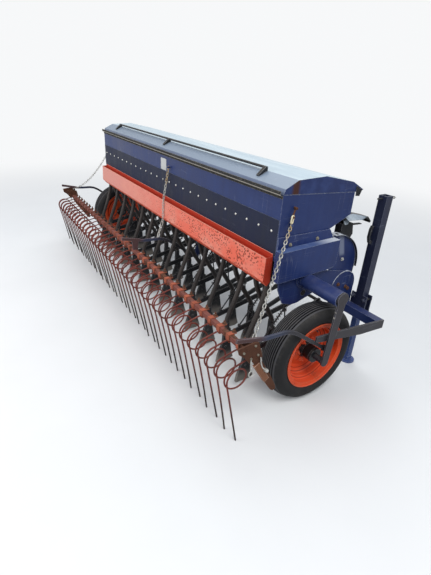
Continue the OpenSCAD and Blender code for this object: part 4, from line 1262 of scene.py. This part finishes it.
class DRILL_OT_tray(bpy.types.Operator):
    """Folded tray with an open trough behind its front lip"""

    bl_idname = "drill.tray"
    bl_label = "Tray"
    bl_options = {"REGISTER", "UNDO"}
    end_t = 0.002

    def execute(self, _context):
        low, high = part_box("tray")
        lip_y, lip_z = TROUGH_LIP
        wall = high.y - AXLE_Y
        sheet = [
            (wall, TROUGH_REAR_Z), (wall - 0.0025, TROUGH_REAR_Z), (wall - 0.0025, 0.903), (-0.2400, 0.895),
            (lip_y + 0.0030, lip_z - 0.001), (lip_y, lip_z), (-0.2620, 0.779), (-0.2275, 0.7400),
            (-0.2255, 0.7420), (-0.2595, 0.7800), (lip_y + 0.0026, lip_z - 0.009), (-0.2425, 0.8922),
            (wall, 0.900),
        ]
        end = [
            (wall, 0.930), (lip_y + 0.0010, lip_z - 0.002), (-0.2615, 0.779), (-0.2275, 0.7405),
            (wall, 0.765),
        ]
        bm = bmesh.new()
        add_outline(bm, sheet, low.x + self.end_t, high.x - self.end_t)
        for side in (-1, 1):
            add_outline(bm, end, side * (high.x - self.end_t), side * high.x)
        piece = new_piece("folded_tray", bm, tray_paint, "frame", 25.0)
        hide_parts("tray")
        return {"FINISHED"}


class DRILL_OT_gearbox(bpy.types.Operator):
    """Rate gearbox under its folded cover, on its foot"""

    bl_idname = "drill.gearbox"
    bl_label = "Rate gearbox"
    bl_options = {"REGISTER", "UNDO"}
    cover_t = 0.003

    def body(self, low, high, wall):
        """Housing, shelf, foot, inner plate and roof."""
        housing = [
            (wall, 1.045), (0.425, 1.052), (0.475, 1.040), (0.492, 0.965), (0.470, 0.930), (wall, 0.930),
        ]
        shelf = [(0.470, 1.031), (0.566, 1.025), (0.566, 1.020), (0.470, 1.024)]
        foot = [(0.445, 0.932), (0.480, 0.932), (0.526, low.z), (0.476, low.z)]
        inner_plate = [(wall, 1.0945), (0.450, 1.1035), (0.605, 1.0635), (0.500, 1.030), (wall, 1.030)]
        roof = [
            (wall, 1.098), (0.450, 1.107), (0.612, 1.068), (0.650, 1.034), (0.642, 1.022), (0.634, 1.026),
            (0.6395, 1.0345), (0.605, 1.0625), (0.450, 1.1030), (wall, 1.0940),
        ]
        bm = bmesh.new()
        add_outline(bm, housing, low.x + 0.010, high.x - 0.006)
        add_outline(bm, shelf, high.x - 0.030, high.x - 0.008)
        add_outline(bm, foot, low.x + 0.030, low.x + 0.040)
        add_outline(bm, inner_plate, low.x, low.x + self.cover_t)
        add_outline(bm, roof, low.x, high.x - 0.002)
        return bm

    def cover(self, ridge_x, wall):
        """Facets beside the roof's ridge: the upper one is thickened inward, the lower one downward."""
        brow_x = ridge_x + 0.040
        cheek_x = ridge_x + 0.018
        brow = [
            at(ridge_x, wall, 1.098), at(ridge_x, 0.450, 1.1065), at(ridge_x, 0.600, 1.0695),
            at(brow_x, 0.505, 1.0695), at(brow_x, wall, 1.079),
        ]
        cheek = [
            at(ridge_x, wall, 1.067), at(ridge_x, 0.430, 1.073), at(cheek_x, 0.402, 1.048),
            at(cheek_x, wall, 1.046),
        ]
        below = (cheek[1] - cheek[0]).cross(cheek[2] - cheek[1]).normalized()
        bm = bmesh.new()
        add_sheet(bm, brow, AXIS_X * -self.cover_t)
        add_sheet(bm, cheek, below * self.cover_t)
        return bm

    def execute(self, _context):
        low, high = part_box("rate_gearbox")
        wall = low.y - AXLE_Y
        body = self.body(low, high, wall)
        piece = new_piece("gearbox_body", body, black_paint, "frame")
        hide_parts("rate_gearbox")
        cover = self.cover(high.x - 0.002, wall)
        new_piece("gearbox_cover", cover, pale_cover, "frame", 25.0)
        return {"FINISHED"}


class DRILL_OT_tines(bpy.types.Operator):
    """Spring tines of the harrow, each with its coil"""

    bl_idname = "drill.tines"
    bl_label = "Tines"
    bl_options = {"REGISTER", "UNDO"}
    coil_middle = (-0.645, 0.438)
    first_turn = math.radians(90)
    steps = 46
    leg_steps = 6

    def last_turn(self):
        """The turn at which a coil runs into its leg."""
        return math.radians(540) + sizes().tine_lean

    def coil_point(self, x, turn):
        """A place on the coil of the tine at x."""
        s = sizes()
        side = -1 if x < 0 else 1
        middle = (self.first_turn + self.last_turn()) / 2
        coil_y, coil_z = self.coil_middle
        return at(
            x + side * s.turn_pitch * (turn - middle) / math.tau,
            coil_y + s.coil * math.cos(turn), coil_z + s.coil * math.sin(turn),
        )

    def path(self, i):
        """The line of one tine, from under the beam to its tip, each leg bent in its own way."""
        s = sizes()
        x = i * s.tine_pitch
        beam = middle_of("harrow_beam")
        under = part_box("harrow_beam")[0].z - s.wire / 2 - 0.0003
        way = self.last_turn() - self.first_turn
        coil = [self.coil_point(x, self.first_turn + way * k / self.steps) for k in range(self.steps + 1)]
        arm_x = coil[0].x
        start = [Vector((arm_x, beam.y + 0.018, under)), Vector((arm_x, beam.y - 0.030, under - 0.003))]
        arm = smooth_path([*start, coil[0], coil[3]], 0.012)
        reach = len([p for p in arm if p.y > coil[0].y])
        tip_z = s.wire / 2 * math.sin(s.tine_lean)
        drop = coil[-1].z - tip_z
        tip = Vector((coil[-1].x, coil[-1].y + drop * math.tan(s.tine_lean), tip_z))
        bent = Vector((0.004 * math.sin(i * 12.9898), 0.006 * math.sin(i * 78.233) - 0.006, 0.0))
        shares = [k / self.leg_steps for k in range(1, self.leg_steps + 1)]
        return arm[:reach] + coil + [coil[-1].lerp(tip, share) + bent * share**2 for share in shares]

    def execute(self, _context):
        s = sizes()
        reach = s.tines // 2
        paths = [self.path(i) for i in range(-reach, reach + 1)]
        piece = tube_piece("spring_tines", paths, s.wire / 2, tine_paint, "harrow")
        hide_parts("harrow_tines")
        return {"FINISHED"}


class DRILL_OT_tine_clamps(bpy.types.Operator):
    """Clamps with bolts that hold the tines on the harrow's beam"""

    bl_idname = "drill.tine_clamps"
    bl_label = "Tine clamps"
    bl_options = {"REGISTER", "UNDO"}
    half = 0.015
    lap = 0.022
    front_lap = 0.005
    cap_t = 0.005
    strap_t = 0.004
    wire_gap = 0.0035
    bolt_r = 0.005
    coil_shift = 0.64

    def add_clamp(self, plates, bolts, x):
        """A cap over the beam, a rear plate, a strap under the tine's wire and the bolt through all."""
        low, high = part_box("harrow_beam")
        nut = sizes().clamp_nut
        x0, x1 = x - self.half, x + self.half
        outer_y = high.y + self.lap
        strap_z = low.z - sizes().wire - self.wire_gap
        cap_z = high.z + self.cap_t
        rear_y = low.y - self.front_lap
        add_block(plates, (x0, rear_y, high.z), (x1, outer_y, cap_z), 0.001)
        add_block(plates, (x0, rear_y, low.z - 0.004), (x1, low.y, high.z + 0.003), 0.0008)
        add_block(plates, (x0, low.y, strap_z - self.strap_t), (x1, outer_y, strap_z), 0.001)
        bolt_y = high.y + self.lap / 2
        add_bolt(bolts, (x, bolt_y, cap_z), AXIS_Z, nut, stud=0.012)
        add_round(bolts, (x, bolt_y, strap_z), (x, bolt_y, high.z), self.bolt_r, 10)
        add_bolt(bolts, (x, bolt_y, strap_z - self.strap_t), -AXIS_Z, nut, washer=False)

    def execute(self, _context):
        s = sizes()
        post_low, post_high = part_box("harrow_arm_mid")
        plates = bmesh.new()
        bolts = bmesh.new()
        reach = s.tines // 2
        for i in range(1 - reach, reach):
            side = -1 if i < 0 else 1
            x = i * s.tine_pitch - side * s.turn_pitch * self.coil_shift
            if not post_low.x - self.half < x < post_high.x + self.half:
                self.add_clamp(plates, bolts, x)
        new_piece("tine_clamps", plates, clamp_paint, "harrow")
        new_piece("tine_clamp_bolts", bolts, rusty_steel, "harrow")
        return {"FINISHED"}


def follow_lift(piece):
    """Gives a hanging piece its own copy of its mesh."""
    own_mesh(piece)


class DRILL_OT_chains(bpy.types.Operator):
    """Chains that the harrow hangs on"""

    bl_idname = "drill.chains"
    bl_label = "Chains"
    bl_options = {"REGISTER", "UNDO"}
    corners = 14
    lock = 0.050
    lock_extra = 0.003
    pin_reach = 0.0195
    top = (1.522, -0.140, 1.115)
    low = (1.765, -0.525, 0.625)
    sag = 0.080
    sag_steps = 8
    over_tray = (
        (0.130, -0.221, 1.188), (0.131, -0.243, 1.060), (0.133, -0.2670, 0.935),
        (0.135, -0.2700, 0.905), (0.142, -0.277, 0.776),
    )
    slack = ((0.142, -0.277, 0.776), (0.153, -0.300, 0.722), (0.180, -0.345, 0.6375))
    hook = (
        (1.512, -0.112, 1.214), (1.513, -0.118, 1.196), (1.516, -0.127, 1.180),
        (1.520, -0.134, 1.172), (1.524, -0.129, 1.164), (1.520, -0.121, 1.166),
    )
    quick_link_ends = ((1.518, -0.1285, 1.180), (1.5205, -0.1375, 1.1265))

    def link_line(self, low, high, turned, length, width, wire):
        """Closed line of one link that lies along a direction, turned by a quarter or not."""
        ahead = high - low
        place = Matrix.Translation((low + high) / 2)
        place = place @ Matrix.Rotation(math.atan2(ahead.y, ahead.x), 4, "Z")
        place = place @ Matrix.Rotation(math.acos(ahead.z / ahead.length), 4, "Y")
        place = place @ Matrix.Rotation(math.pi / 2 * turned, 4, "Z")
        bend = (width - wire) / 2
        straight = (length - width) / 2
        line = []
        for k in range(self.corners):
            turn = math.tau * (k + 0.5) / self.corners
            up = math.copysign(straight, math.sin(turn)) + bend * math.sin(turn)
            line.append(place @ Vector((bend * math.cos(turn), 0.0, up)))
        return line

    def lines(self, path, lock):
        """Closed lines of links hooked into each other along a path, the second as long as lock."""
        s = sizes()
        fine = smooth_path(path, 0.004)
        reach = [0.0]
        for a, b in zip(fine, fine[1:]):
            reach.append(reach[-1] + (b - a).length)

        def place_at(way):
            k = min(max(bisect_left(reach, way), 1), len(fine) - 1)
            return fine[k - 1].lerp(fine[k], (way - reach[k - 1]) / (reach[k] - reach[k - 1]))

        bite = 2 * s.link_wire
        start = lock + s.link_pitch - bite
        count = 2 * round((reach[-1] - start - s.link_pitch - bite) / s.link_pitch / 2)
        pitch = (reach[-1] - start - bite) / (count + 1)
        stations = [(s.link_pitch / 2 + bite / 2, s.link_pitch + bite), (s.link_pitch + lock / 2, lock)]
        stations += [(start + bite / 2 + pitch * (k + 0.5), pitch + bite) for k in range(count + 1)]
        lines = []
        for i, (way, size) in enumerate(stations):
            ends = (place_at(way - size / 3), place_at(way + size / 3))
            extra = self.lock_extra if i == 1 and lock == self.lock else 0.0
            lines.append(self.link_line(*ends, i % 2, size, s.link_width + extra, s.link_wire))
        return lines

    def hang(self, name, path, reaches, lock=lock, follow=True):
        """Makes a chain that reaches round its two pins; unless follow is false, it gets its own mesh."""
        top, low = path[0], path[-1]
        high_end = top + (top - path[1]).normalized() * reaches[0]
        low_end = low + (low - path[-2]).normalized() * reaches[1]
        lines = self.lines([high_end, *path[1:-1], low_end], lock)
        wire_r = sizes().link_wire / 2
        piece = tube_piece(name, lines, wire_r, chain_steel, "frame", 1, True)
        if follow:
            follow_lift(piece)
        return piece

    def quick_link(self):
        """Hook on the hopper's end with the yellow quick link that the right-hand chain hangs on."""
        seat = at(HOPPER_X, *HOOK_BOLT)
        bolt = bmesh.new()
        add_round(bolt, seat, seat + AXIS_X * 0.022, 0.007, 14)
        add_bolt(bolt, seat + AXIS_X * 0.016, AXIS_X, 0.014, washer=False)
        new_piece("chain_hook_bolt", bolt, rusty_steel, "frame")
        hook = smooth_path([at(*p) for p in self.hook], 0.004)
        tube_piece("chain_hook", [hook], 0.0045, rusty_steel, "frame")
        high, low = (at(*p) for p in self.quick_link_ends)
        line = self.link_line(high, low, 0, (low - high).length, 0.028, 0.009)
        tube_piece("quick_link", [line], 0.0045, yellow_zinc, "frame", 2, True)

    def execute(self, _context):
        s = sizes()
        top = at(*self.top)
        low = at(*self.low)
        both = (self.pin_reach, self.pin_reach)
        taut = [top, top.lerp(low, 0.5), low]
        right = self.hang("chain_links_right", taut, both, lock=s.link_pitch + 2 * s.link_wire)
        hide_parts("chain_right")
        self.quick_link()
        sagging = []
        for i in range(self.sag_steps + 1):
            t = i / self.sag_steps
            p = top.lerp(low, t) - AXIS_Z * 4 * self.sag * t * (1 - t)
            sagging.append(Vector((-p.x, p.y, p.z)))
        left = self.hang("chain_links_left", sagging, both)
        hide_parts("chain_left")
        upper = self.hang("chain_links_mid", [at(*p) for p in self.over_tray], (0.0175, 0.0), follow=False)
        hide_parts("chain_mid")
        self.hang("chain_links_mid_low", [at(*p) for p in self.slack], (0.004, 0.010))
        return {"FINISHED"}


class DRILL_OT_hoses(bpy.types.Operator):
    """Ringed seed hoses, from the metering units down into the shoes"""

    bl_idname = "drill.hoses"
    bl_label = "Seed hoses"
    bl_options = {"REGISTER", "UNDO"}
    spout = (-0.188, 0.782)
    swelling = 0.035

    def path(self, x, shoe_y):
        """The line of one hose."""
        start_y, top = self.spout
        way = shoe_y - start_y
        return smooth_path([
            at(x, start_y, top), at(x, start_y, top - 0.050), at(x, start_y + way * 0.15, 0.640),
            at(x, start_y + way * 0.5, 0.520), at(x, shoe_y - way * 0.15, 0.420), at(x, shoe_y, 0.365),
            at(x, shoe_y, 0.311),
        ], sizes().ring_pitch / 4)

    def ring_swell(self, i):
        """Share of the radius at a point; four points make a ring."""
        return 1.0 - self.swelling * (1 - math.cos(math.tau * i / 4))

    def execute(self, _context):
        for name, rank_y in (("rear", SHOE_REAR_Y), ("front", SHOE_FRONT_Y)):
            paths = [self.path(x, shoe_y) for x, shoe_y, _ in coulter_rows() if shoe_y == rank_y]
            piece = tube_piece(
                f"ringed_hoses_{name}", paths, sizes().hose / 2, hose_rubber, "frame", 3,
                swell=self.ring_swell,
            )
            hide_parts(f"seed_tubes_{name}")
        return {"FINISHED"}


class DRILL_OT_pressure_rods(bpy.types.Operator):
    """Pressure rods with their coil springs, and the levers' collars on the rockshaft"""

    bl_idname = "drill.pressure_rods"
    bl_label = "Pressure rods"
    bl_options = {"REGISTER", "UNDO"}
    rail_eye_r = 0.022
    low_eye_r = 0.018
    foot_rise = 0.008
    foot_half = (0.011, 0.007, 0.008)
    foot_top = (0.011, 0.007, 0.010)
    shaft_gap = 0.018
    seat_t = 0.004
    collar = ((0.0202, -0.010), (0.0290, -0.010), (0.0290, 0.010), (0.0202, 0.010))
    turns = 10

    def foot(self, x, shoe_y, rod_y):
        """The place where a rod stands on its drag arm."""
        rail_y, rail_z = RAIL
        end_y = shoe_y + SHOE_EYE_Y
        slope = (rail_z - SHOE_EYE_Z) / (rail_y - end_y)
        share = (rod_y - end_y) / (rail_y - end_y)
        half = self.low_eye_r + share * (self.rail_eye_r - self.low_eye_r)
        top = SHOE_EYE_Z + share * (rail_z - SHOE_EYE_Z) + half * math.sqrt(1 + slope * slope)
        return at(x + (SHOE_T + DRAG_ARM_T) / 2, rod_y, top + self.foot_rise)

    def execute(self, _context):
        s = sizes()
        shaft = middle_of("rockshaft")
        rods = bmesh.new()
        springs = []
        for row in coulter_rows():
            foot = self.foot(*row)
            end = Vector((foot.x, shaft.y, shaft.z))
            along = (end - foot).normalized()
            head = end - along * self.shaft_gap
            low = foot.lerp(head, 0.30)
            high = foot.lerp(head, 0.80)
            seat = along * self.seat_t
            add_round(rods, foot, head, s.rod / 2, 12)
            add_round(rods, low, low - seat, s.spring * 0.52, 20)
            add_round(rods, high, high + seat, s.spring * 0.52, 20)
            add_round(rods, high + seat, high + seat * 4, 0.009, 6)
            add_block(rods, foot - Vector(self.foot_half), foot + Vector(self.foot_top), 0.002)
            add_spun(rods, self.collar, end, 28)
            springs.append(helix(low, high, (s.spring - s.spring_wire) / 2, self.turns))
        piece = new_piece("pressure_rods", rods, black_paint, "frame")
        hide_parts("pressure_springs")
        tube_piece("rod_springs", springs, s.spring_wire / 2, spring_steel, "frame", 1)
        return {"FINISHED"}


class DRILL_OT_coulter_hardware(bpy.types.Operator):
    """Bolts of the drag arms and of the shoes"""

    bl_idname = "drill.coulter_hardware"
    bl_label = "Coulter hardware"
    bl_options = {"REGISTER", "UNDO"}
    arm_bolt = 0.017
    shoe_bolt_r = 0.009
    shoe_bolt_z = (0.200, 0.160)

    def execute(self, _context):
        seats = []
        heads = bmesh.new()
        for x, shoe_y, _ in coulter_rows():
            eye_y = shoe_y + SHOE_EYE_Y
            seats.append((at(x + SHOE_T / 2 + DRAG_ARM_T, eye_y, SHOE_EYE_Z), AXIS_X))
            seats.append((at(x - SHOE_T / 2, eye_y, SHOE_EYE_Z), -AXIS_X))
            for z in self.shoe_bolt_z:
                for side in (-1, 1):
                    add_dome(heads, at(x + side * SHOE_T / 2, shoe_y, z), AXIS_X * side, self.shoe_bolt_r)
        bolts_piece("drag_arm_bolts", seats, self.arm_bolt, black_paint, "frame", stud=0.006)
        new_piece("shoe_bolts", heads, shoe_steel, "frame")
        return {"FINISHED"}


class DRILL_OT_harrow_hardware(bpy.types.Operator):
    """Bolts, rods, eyes and sleeves of the harrow's brackets, and nuts on its pivot pins"""

    bl_idname = "drill.harrow_hardware"
    bl_label = "Harrow hardware"
    bl_options = {"REGISTER", "UNDO"}
    bracket_bolts = ((-0.541, 0.616), (-0.518, 0.552), (-0.562, 0.541), (-0.612, 0.592))
    bolt_head = 0.012
    sleeve_ends = ((-0.520, 0.488), (-0.437, 0.357))
    sleeve_half = 0.019
    rod_out = 0.010
    rod = ((-0.503, 0.535), (-0.497, 0.500), (-0.482, 0.462), (-0.458, 0.436))
    rod_nut = ((-0.463, 0.441), (-0.447, 0.426))
    eye_out = 0.004
    eye_bar = ((-0.562, 0.535), (-0.560, 0.500), (-0.556, 0.458))
    eye = (-0.551, 0.441)
    eye_r = 0.017
    nut_gap = 0.0085

    def add_sleeve(self, bm, side, face):
        """Sleeve round the prong's upper part."""
        start, end = (Vector(p) for p in self.sleeve_ends)
        along = (end - start).normalized()
        across = Vector((-along.y, along.x)) * self.sleeve_half
        outline = [start - across, start + across, end + across, end - across]
        add_outline(bm, outline, side * (face - 0.0135), side * (face + 0.006))

    def pivot_nuts(self):
        """A nut inside each outer harrow arm, on its pivot pin."""
        pivot = Vector(joint("harrow_lift")["pos_m"])
        seats = []
        for side, name in SIDES:
            low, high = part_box(f"harrow_arm_{name}")
            inner = low.x if side > 0 else high.x
            seats.append((Vector((inner - side * self.nut_gap, pivot.y, pivot.z)), -AXIS_X * side))
        bolts_piece("pivot_nuts", seats, sizes().pivot_nut, rusty_steel, "frame")

    def execute(self, _context):
        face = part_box("harrow_brackets")[1].x
        bolts = []
        sleeves = bmesh.new()
        bars = []
        eyes = []
        ends = bmesh.new()
        for side in (-1, 1):
            out = AXIS_X * side
            bolts += [(at(side * face, y, z), out) for y, z in self.bracket_bolts]
            self.add_sleeve(sleeves, side, face)
            rod_x = side * (face + self.rod_out)
            eye_x = side * (face + self.eye_out)
            bars.append(smooth_path([at(rod_x, y, z) for y, z in self.rod], 0.008))
            bars.append(smooth_path([at(eye_x, y, z) for y, z in self.eye_bar], 0.008))
            add_round(ends, *(at(rod_x, y, z) for y, z in self.rod_nut), 0.011, 16)
            eyes.append(ring(at(eye_x, *self.eye), out, self.eye_r))
        bolts_piece("bracket_bolts", bolts, self.bolt_head, dull_steel, "harrow", False)
        new_piece("prong_sleeves", sleeves, prong_steel, "harrow")
        tube_piece("bracket_rods", bars, 0.0038, zinc_coat, "harrow")
        tube_piece("bracket_eyes", eyes, 0.0032, zinc_coat, "harrow", closed=True)
        new_piece("bracket_rod_ends", ends, zinc_coat, "harrow")
        self.pivot_nuts()
        return {"FINISHED"}


class DRILL_OT_stand_hardware(bpy.types.Operator):
    """Pins, levers and clamp bolts of the parking stands"""

    bl_idname = "drill.stand_hardware"
    bl_label = "Stand hardware"
    bl_options = {"REGISTER", "UNDO"}
    bolt_x = (-0.047, 0.047)
    bolt_z = (0.437, 0.535)
    pin_z = 1.226
    pin_out = 0.066
    lever = ((0.0, 0.0), (-0.018, 0.012), (-0.032, 0.050), (-0.030, 0.105), (-0.018, 0.128),
             (-0.010, 0.122), (-0.022, 0.100), (-0.024, 0.052), (-0.012, 0.022), (0.0, 0.014))
    lever_z = 0.925
    hub_z = 0.940

    def add_lever(self, bm, x, side, rear_y):
        """Lever behind the housing, on its hub."""
        outline = [(rear_y - AXLE_Y + y, self.lever_z + z) for y, z in self.lever]
        add_outline(bm, outline, x - side * 0.024, x - side * 0.004)
        hub_x = x - side * 0.014
        add_round(bm, (hub_x, rear_y - 0.012, self.hub_z), (hub_x, rear_y, self.hub_z), 0.012, 16)

    def add_pin(self, pins, bars, x, low, high):
        """Locking pin through the housing: a thin bar behind, a flat strip and a collar in front."""
        add_round(bars, (x, low.y - 0.045, self.pin_z + 0.004), (x, high.y, self.pin_z), 0.0055, 14)
        start = (x - 0.007, high.y, self.pin_z - 0.0025)
        end = (x + 0.007, high.y + self.pin_out, self.pin_z + 0.0025)
        add_block(pins, start, end, 0.001)
        add_round(pins, (x, high.y + 0.052, self.pin_z), (x, high.y + 0.055, self.pin_z), 0.009, 16)

    def execute(self, _context):
        bolts = []
        levers = bmesh.new()
        pins = bmesh.new()
        bars = bmesh.new()
        for side, name in SIDES:
            low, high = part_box(f"stand_housing_{name}")
            x = (low.x + high.x) / 2
            for step in self.bolt_x:
                for z in self.bolt_z:
                    bolts.append((Vector((x + step, high.y, z)), AXIS_Y))
                    add_round(bars, (x + step, low.y, z), (x + step, high.y, z), 0.007, 12)
                bolts.append((Vector((x + step, low.y, self.bolt_z[1])), -AXIS_Y))
            self.add_pin(pins, bars, x, low, high)
            self.add_lever(levers, x, side, low.y)
        bolts_piece("clamp_bolts", bolts, sizes().stand_bolt, post_paint, "frame", stud=0.006)
        new_piece("clamp_studs", bars, black_paint, "frame")
        new_piece("stand_levers", levers, black_paint, "frame")
        new_piece("stand_pins", pins, zinc_coat, "frame")
        return {"FINISHED"}


class DRILL_OT_hitch_hardware(bpy.types.Operator):
    """Linch pins in the lower hitch pins"""

    bl_idname = "drill.hitch_hardware"
    bl_label = "Hitch hardware"
    bl_options = {"REGISTER", "UNDO"}
    end_gap = 0.013
    pin_r = 0.0045
    ring_r = 0.022
    head_low = Vector((-0.007, -0.007, 0.014))
    head_high = Vector((0.007, 0.007, 0.026))

    def execute(self, _context):
        pins = bmesh.new()
        rings = []
        low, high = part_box("headstock")
        for mount in frame["record"]["mounts"]:
            if mount["kind"] != "pin":
                continue
            x, y, z = mount["pos_m"]
            side = 1 if x > 0 else -1
            centre = Vector(((high.x if side > 0 else low.x) - side * self.end_gap, y, z))
            add_round(pins, centre - AXIS_Z * 0.026, centre + AXIS_Z * 0.020, self.pin_r, 12)
            add_block(pins, centre + self.head_low, centre + self.head_high, 0.002)
            rings.append(ring(centre + AXIS_X * side * 0.006, AXIS_X + AXIS_Y * 0.15, self.ring_r))
        new_piece("linch_pins", pins, zinc_coat, "frame")
        tube_piece("linch_rings", rings, 0.0018, zinc_coat, "frame", 1, True)
        return {"FINISHED"}


class DRILL_OT_stage(bpy.types.Operator):
    """Floor, lights and the camera"""

    bl_idname = "drill.stage"
    bl_label = "Stage"
    bl_options = {"REGISTER", "UNDO"}
    floor_reach = 60.0
    fade_start = 2.2
    fade_end = 7.5
    sky_strength = 0.50
    sky_color = (0.80, 0.88, 1.0)
    lamps = (
        ("key", (5.0, -1.5, 6.0), (0.4, 0.0, 0.8), 4.0, 290.0),
        ("top", (-2.5, 2.5, 6.5), (0.0, 0.0, 0.9), 5.0, 170.0),
        ("fill", (-1.0, -6.5, 3.0), (0.2, 0.0, 0.6), 5.0, 250.0),
    )

    def execute(self, _context):
        self.floor()
        self.lights()
        self.camera()
        bpy.context.scene.view_settings.view_transform = "Standard"
        return {"FINISHED"}

    def seen(self, graph):
        """1 where the camera, a reflection or glass sees the surface."""
        path = graph.add("ShaderNodeLightPath")
        seen = graph.math("MAXIMUM", path.outputs["Is Camera Ray"], path.outputs["Is Glossy Ray"])
        return graph.math("MAXIMUM", seen, path.outputs["Is Transmission Ray"])

    def floor(self):
        """Pale floor, darker to the light that it throws back on the drill."""
        bm = bmesh.new()
        bmesh.ops.create_grid(bm, x_segments=1, y_segments=1, size=self.floor_reach)
        mesh = bpy.data.meshes.new("floor")
        bm.to_mesh(mesh)
        bm.free()
        floor = bpy.data.objects.new("floor", mesh)
        bpy.context.scene.collection.objects.link(floor)
        finish = Finish(0.85)
        graph = finish.graph
        seen = self.seen(graph)
        cloud = graph.above(graph.noise(finish.place, 0.8, roughness=0.6), 0.3, 0.7)
        tint = tuple(c * 0.97 for c in colours().floor)
        finish.color = graph.mix(seen, BOUNCE, graph.mix(cloud, "floor", tint))
        material = finish.done(bump=0.05)
        material.name = "floor_coat"
        self.fade(graph, material.node_tree.nodes, seen)
        floor.data.materials.append(material)

    def fade(self, graph, nodes, seen):
        """Lets the floor run into the backdrop's white away from the drill."""
        glow = graph.add("ShaderNodeEmission")
        glow.inputs["Color"].default_value = (*BACKDROP, 1.0)
        blend = graph.add("ShaderNodeMixShader")
        away = graph.add("ShaderNodeVectorMath", operation="LENGTH")
        graph.feed(away.inputs[0], graph.place())
        share = graph.above(away.outputs["Value"], self.fade_start, self.fade_end)
        graph.feed(blend.inputs[0], graph.product(share, seen))
        graph.feed(blend.inputs[1], nodes["Principled BSDF"].outputs[0])
        graph.feed(blend.inputs[2], glow.outputs[0])
        graph.feed(nodes["Material Output"].inputs["Surface"], blend.outputs[0])

    def lights(self):
        """Soft blue-white sky and three round lamps, each with its place, aim, size and power."""
        world = bpy.data.worlds.new("studio")
        bpy.context.scene.world = world
        world.use_nodes = True
        graph = Graph(world.node_tree)
        sky = world.node_tree.nodes["Background"]
        seen = self.seen(graph)
        graph.feed(sky.inputs["Color"], graph.mix(seen, self.sky_color, BACKDROP))
        graph.feed(sky.inputs["Strength"], graph.between(seen, self.sky_strength, 1.0))
        for name, place, aim, size, power in self.lamps:
            lamp = bpy.data.lights.new(name, "AREA")
            lamp.shape = "DISK"
            lamp.size = size
            lamp.energy = power
            holder = bpy.data.objects.new(name, lamp)
            holder.location = place
            holder.rotation_mode = "QUATERNION"
            holder.rotation_quaternion = (Vector(aim) - Vector(place)).to_track_quat("-Z", "Y")
            bpy.context.scene.collection.objects.link(holder)

    def camera(self):
        """Camera at the photograph's place, fitted to the drill's own edges."""
        frame_width_px = 431.0
        focal_px = 400.0
        yaw = math.radians(56.580)
        pitch = math.radians(26.722)
        roll = math.radians(3.359)
        place = at(3.106, -1.6655, 1.795)
        lens = bpy.data.cameras.new("photo_camera")
        lens.sensor_fit = "HORIZONTAL"
        lens.sensor_width = 36.0
        lens.lens = lens.sensor_width * focal_px / frame_width_px
        ahead = Vector((-math.sin(yaw), math.cos(yaw), 0.0)) * math.cos(pitch) - AXIS_Z * math.sin(pitch)
        level = Vector((math.cos(yaw), math.sin(yaw), 0.0))
        upright = level.cross(ahead)
        right = math.cos(roll) * level + math.sin(roll) * upright
        up = -math.sin(roll) * level + math.cos(roll) * upright
        camera = bpy.data.objects.new("photo_camera", lens)
        turn = Matrix((right, up, -ahead)).transposed().to_4x4()
        camera.matrix_world = Matrix.Translation(place) @ turn
        bpy.context.scene.collection.objects.link(camera)
        bpy.context.scene.camera = camera


OPERATORS = (
    DRILL_OT_stage,
    DRILL_OT_frame,
    DRILL_OT_tyres,
    DRILL_OT_wheel_hardware,
    DRILL_OT_hopper_hardware,
    DRILL_OT_tray,
    DRILL_OT_gearbox,
    DRILL_OT_tines,
    DRILL_OT_tine_clamps,
    DRILL_OT_chains,
    DRILL_OT_hoses,
    DRILL_OT_pressure_rods,
    DRILL_OT_coulter_hardware,
    DRILL_OT_harrow_hardware,
    DRILL_OT_stand_hardware,
    DRILL_OT_hitch_hardware,
)


class DRILL_PT_panel(bpy.types.Panel):
    """Sidebar panel of the seed drill."""

    bl_label = "Seed drill"
    bl_idname = "DRILL_PT_panel"
    bl_space_type = "VIEW_3D"
    bl_region_type = "UI"
    bl_category = "Seed drill"

    def draw(self, context):
        """Lists the pieces, the sizes and the colours."""
        for piece in OPERATORS:
            self.layout.operator(piece.bl_idname)
        for group in (context.scene.drill_sizes, context.scene.drill_colours):
            for name in group.__annotations__:
                self.layout.prop(group, name)


CLASSES = (DrillSizes, DrillColours, *OPERATORS, DRILL_PT_panel)


def register():
    """Registers the classes and the scene's settings."""
    for item in CLASSES:
        bpy.utils.register_class(item)
    bpy.types.Scene.drill_sizes = bpy.props.PointerProperty(type=DrillSizes)
    bpy.types.Scene.drill_colours = bpy.props.PointerProperty(type=DrillColours)


def unregister():
    """Removes the scene's settings and the classes."""
    del bpy.types.Scene.drill_colours
    del bpy.types.Scene.drill_sizes
    for item in reversed(CLASSES):
        bpy.utils.unregister_class(item)


def main():
    """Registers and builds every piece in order."""
    register()
    build_groups()
    for piece in OPERATORS:
        group, name = piece.bl_idname.split(".")
        getattr(getattr(bpy.ops, group), name)()


if __name__ == "__main__":
    main()
